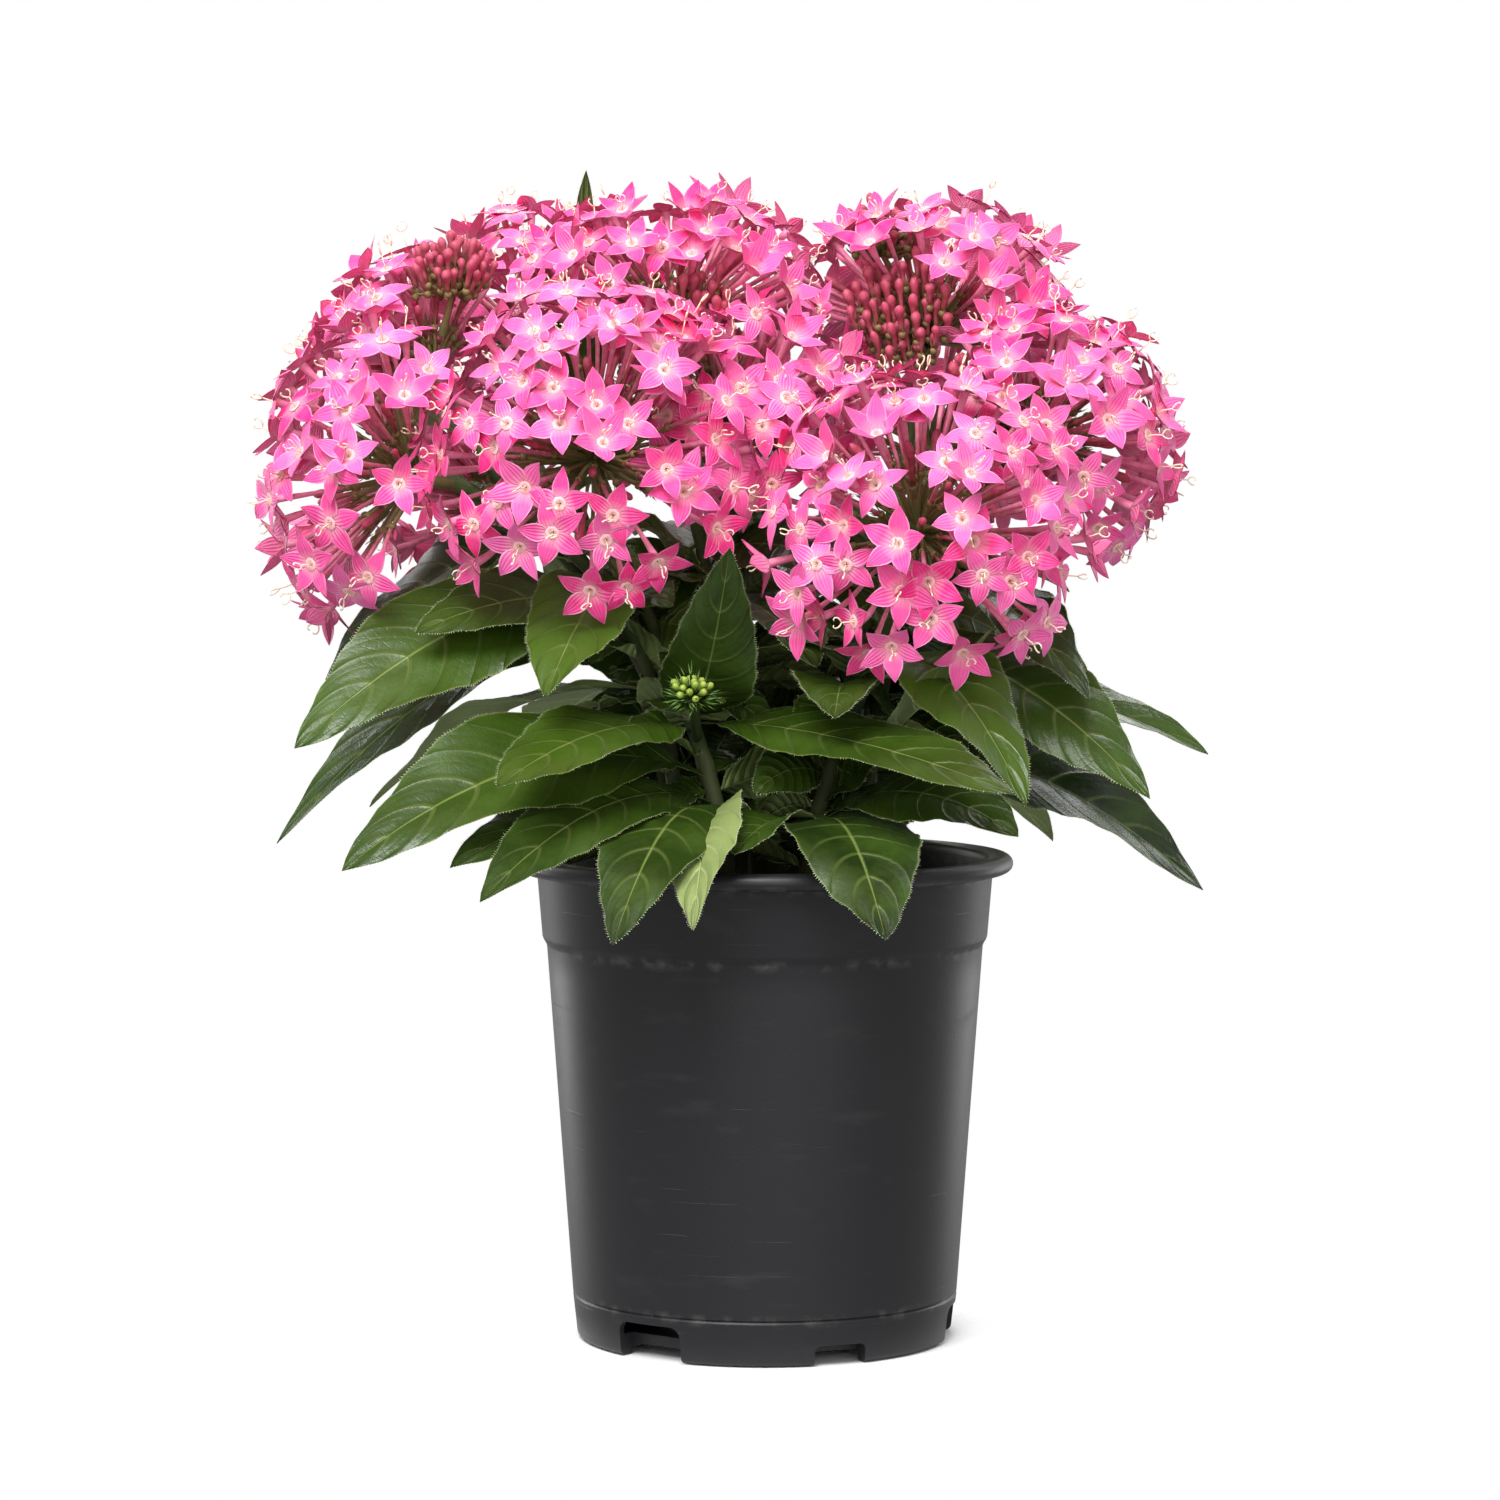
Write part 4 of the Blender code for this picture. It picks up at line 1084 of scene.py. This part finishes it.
def add_bud(pile, root, tip, radius, draw):
    """A club-shaped bud that stands on its calyx."""
    root, tip = Vector(root), Vector(tip)
    sag = Vector((draw.uniform(-0.6, 0.6), draw.uniform(-0.6, 0.6), 0))
    path = [root.lerp(tip, t) + sag * math.sin(math.pi * t) for t in
            (0.0, 0.2, 0.4, 0.56, 0.68, 0.78, 0.88, 0.95, 1.0)]
    shares = (0.5, 0.5, 0.55, 0.68, 0.88, 1.0, 0.92, 0.62, 0.1)
    add_bar(pile, path, [radius * s for s in shares], 8, BUD, draw.random())
    add_calyx(pile, root, tip - root, draw)


def add_stalk(pile, start, end, radius, draw):
    """A branch of the flower cluster, a little bowed."""
    start, end = Vector(start), Vector(end)
    bow = Vector((draw.uniform(-1, 1), draw.uniform(-1, 1), draw.uniform(-1, 1))) * 0.8
    path = [start, start.lerp(end, 0.5) + bow, end]
    add_bar(pile, path, [radius, radius * 0.8, radius * 0.6], 5, GREEN, cap=False)


def within_box(face):
    """Whether a floret with its face here stays in the box of the solids."""
    low, high = (Vector(corner) / MM for corner in CAD_BOX)
    return all(low[k] + BOX_MARGINS[k] < face[k] < high[k] - BOX_MARGINS[k] for k in range(3))


def bud_centre(name):
    head, toward, reach = BUDS[name][:3]
    return Vector(HEADS[head][0]) + direction(*toward) * reach


def add_stalked_bud(pile, start, root, tip, radius, thick, draw):
    """A closed bud and the branch that holds it."""
    add_bud(pile, root, tip, radius, draw)
    add_stalk(pile, start, root, thick, draw)


def bud_patch(name):
    """The direction, spread in radians and number of the closed buds among a head's florets."""
    toward, spread, count = BUD_PATCHES.get(name, ((0, 0), 0, 0))
    return direction(*toward), math.radians(spread), count


def add_florets(pile, name, placed, draw):
    """Florets spread over a head's dome, clear of other heads, closed buds and the box's sides."""
    centre, facing, radius, spread, count = dome(name)
    patch, patch_spread = bud_patch(name)[:2]
    clusters = [bud_centre(cluster) for cluster in BUDS]
    for way in spiral(facing, spread + 4, count, draw.uniform(0, 6.28)):
        way = (way + scatter(draw) * 0.07).normalized()
        reach = radius * draw.uniform(0.93, 1.1) + 1.0
        face = centre + way * reach
        if any((face - other).length < LEAST_SPACING for owner, other in placed if owner != name):
            continue
        if any((face - spot).length < BUD_CLEARING for spot in clusters):
            continue
        if not within_box(face) or way.angle(patch) < patch_spread:
            continue
        root = centre + way * max(reach - TUBE_LENGTH * draw.uniform(0.85, 1.1), 6.0)
        normal = way + Vector((0, 0, 0.12)) + scatter(draw) * 0.16
        tone = min(1.0, max(0.0, draw.gauss(0.4, 0.33)))
        add_floret(pile, root, face, normal, draw, tone, 0.45 if draw.random() < 0.07 else 1.0)
        placed.append((name, face))
        add_stalk(pile, centre + way * 2.0, root, 0.75, draw)


def add_closed_buds(pile, name, draw):
    """Buds below the florets all over a head, and its patch of buds that stand in the open."""
    centre, facing, radius, spread, count = dome(name)
    for way in spiral(facing, spread, count // 3, draw.uniform(0, 6.28)):
        tip = centre + way * radius * draw.uniform(0.66, 0.86)
        root = centre + way * radius * 0.42
        add_stalked_bud(pile, centre + way * 2.0, root, tip, draw.uniform(0.9, 1.25), 0.6, draw)
    patch, spread, count = bud_patch(name)
    for way in spiral(patch, math.degrees(spread), count, draw.uniform(0, 6.28)):
        root = centre + way * radius * draw.uniform(0.62, 0.78)
        lean = (way * 0.4 + Vector((0, 0, 0.8))).normalized()
        add_stalked_bud(pile, centre + way * 2.0, root, root + lean * draw.uniform(5.5, 9.0),
                        draw.uniform(1.0, 1.45), 0.6, draw)


def make_heads(paints):
    placed = []
    for name in HEADS:
        draw = random.Random("fine " + name)
        pile = Pile()
        add_florets(pile, name, placed, draw)
        add_closed_buds(pile, name, draw)
        centre, axis = dome(name)[:2]
        core = [centre + axis * reach for reach in (-CORE_RADIUS, -5.0, 0.0, 4.0)]
        add_bar(pile, core, [1.3, 1.5, 2.4, 0.8], 9, GREEN, length=0.5)
        pile.make(name + "_florets", paints, name)


def make_buds(paints):
    for name, (head, toward, _, count) in BUDS.items():
        start = Vector(HEADS[head][0]) + direction(*toward) * (CORE_RADIUS + GAP)
        centre = bud_centre(name)
        draw = random.Random("fine " + name)
        pile = Pile()
        add_stalk(pile, start, centre, 1.2, draw)
        for way in spiral(Vector((0, 0, 1)), 92, count, draw.uniform(0, 6.28)):
            way = (way + Vector((draw.gauss(0, 1), draw.gauss(0, 1), 0)) * 0.06).normalized()
            root = centre + way * draw.uniform(5.0, 9.5)
            lean = (way * 0.45 + Vector((0, -0.1, 0.8))).normalized()
            add_stalked_bud(pile, centre, root, root + lean * draw.uniform(5.0, 8.0),
                            draw.uniform(0.9, 1.3), 0.5, draw)
        pile.make(name + "_clubs", paints, name)


# Stage, light and camera

def blend_shaders(tree, share, first, second, output):
    """Sends the first shader to the output where the share is 0 and the second where it is 1."""
    blend = put(tree, "ShaderNodeMixShader",
                {0: share, 1: first.outputs[0], 2: second.outputs[0]})
    feed(tree, tree.nodes[output], {0: blend.outputs[0]})


def make_floor():
    """White ground that darkens under the pot and fades into the white behind."""
    bpy.ops.mesh.primitive_plane_add(size=1.0, location=(0, 0, -0.0002))
    floor = bpy.context.object
    floor.name = "floor"
    made, tree = material("floor_white")
    shader = tree.nodes["Principled BSDF"]
    feed(tree, shader, {"Base Color": (0.95, 0.95, 0.95), "Roughness": 0.9})
    reach = put(tree, "ShaderNodeVectorMath", {0: own_space(tree)}, operation="LENGTH")
    fade = stepped(tree, reach.outputs["Value"], FLOOR_FADE_START, FLOOR_FADE_END)
    clear = put(tree, "ShaderNodeBsdfTransparent", {})
    blend_shaders(tree, fade, shader, clear, "Material Output")
    floor.data.materials.append(made)


def make_world():
    """White behind the plant, and a dimmer white that lights it."""
    world = bpy.data.worlds.new("studio")
    bpy.context.scene.world = world
    world.use_nodes = True
    tree = world.node_tree
    lit = tree.nodes["Background"]
    feed(tree, lit, {"Color": (1.0, 1.0, 1.0), "Strength": WORLD_LIGHT})
    seen = put(tree, "ShaderNodeBackground", {"Color": (1.0, 1.0, 1.0)})
    ray = put(tree, "ShaderNodeLightPath", {}).outputs["Is Camera Ray"]
    blend_shaders(tree, ray, lit, seen, "World Output")


def softbox(name, spot, size, watts, aim=(0, 0, 0.17)):
    data = bpy.data.lights.new(name, "AREA")
    data.shape = "RECTANGLE"
    data.size, data.size_y = size
    data.energy = watts
    lamp = bpy.data.objects.new(name, data)
    lamp.location = spot
    way = Vector(aim) - Vector(spot)
    lamp.rotation_euler = way.to_track_quat("-Z", "Y").to_euler()
    bpy.context.scene.collection.objects.link(lamp)


def make_lights():
    softbox("key_top", (-0.3, -0.9, 1.2), (0.9, 0.7), 26.5)
    softbox("side_left", (-0.8, 0.8, 0.3), (0.4, 0.9), 4.0)
    softbox("side_right", (0.8, 0.8, 0.3), (0.4, 0.9), 4.0)
    softbox("back_top", (0.0, 1.1, 1.0), (1.3, 0.6), 11.0)
    softbox("front_fill", (0.2, -1.7, 0.45), (2.2, 1.0), 11.0)


def make_camera():
    data = bpy.data.cameras.new("camera")
    camera = bpy.data.objects.new("camera", data)
    bpy.context.scene.collection.objects.link(camera)
    spot, aim = Vector(CAMERA_SPOT) * MM, Vector(CAMERA_AIM) * MM
    camera.location = spot
    camera.rotation_euler = (aim - spot).to_track_quat("-Z", "Y").to_euler()
    data.sensor_width = SENSOR_WIDTH
    data.lens = SENSOR_WIDTH * (aim - spot).length / (PHOTO_SIDE * MM_PER_PIXEL * MM)
    data.clip_start = 0.05
    data.clip_end = 30.0
    bpy.context.scene.camera = camera
    bpy.context.scene.view_settings.view_transform = "Standard"


def stem_paints():
    """The materials of the leafy stems, in the order of their places."""
    return [
        leaf_material("leaf_top", (0.008, 0.021, 0.002), (0.060, 0.122, 0.006), (0.20, 0.27, 0.06)),
        leaf_material("leaf_underside", (0.14, 0.20, 0.05), (0.30, 0.38, 0.12), (0.46, 0.52, 0.22),
                      back=True),
        banded_material("stem_skin", (0.035, 0.030, 0.012), (0.06, 0.12, 0.02), 0.75,
                        (0.06, 0.05, 0.02)),
        plain_material("leaf_hairs", (0.70, 0.76, 0.52), 0.7, (0.49, 0.53, 0.36)),
        banded_material("rosette_green", (0.03, 0.10, 0.012), (0.40, 0.50, 0.06), 0.5,
                        (0.09, 0.20, 0.03)),
    ]


def head_paints():
    """The materials of the heads and bud clusters, in the order of their places."""
    return [
        petal_material("petal_face"),
        petal_material("petal_back", back=True),
        banded_material("floret_tube", (0.62, 0.13, 0.20), (0.92, 0.22, 0.44), 0.5,
                        (0.92, 0.42, 0.50)),
        banded_material("throat_ring", (0.99, 0.46, 0.52), (0.78, 0.40, 0.36), 0.7,
                        (0.99, 0.78, 0.70)),
        plain_material("style_cream", (0.92, 0.80, 0.62), 0.6, (0.86, 0.66, 0.46)),
        banded_material("cyme_green", (0.16, 0.22, 0.06), (0.30, 0.20, 0.08), 0.6,
                        (0.24, 0.10, 0.06)),
        banded_material("bud_rose", (0.30, 0.06, 0.06), (0.52, 0.05, 0.13), 0.55,
                        (0.66, 0.17, 0.22)),
    ]


def main():
    make_camera()
    make_floor()
    make_world()
    make_lights()
    make_pot()
    make_soil()
    make_stems(stem_paints())
    paints = head_paints()
    make_heads(paints)
    make_buds(paints)


main()
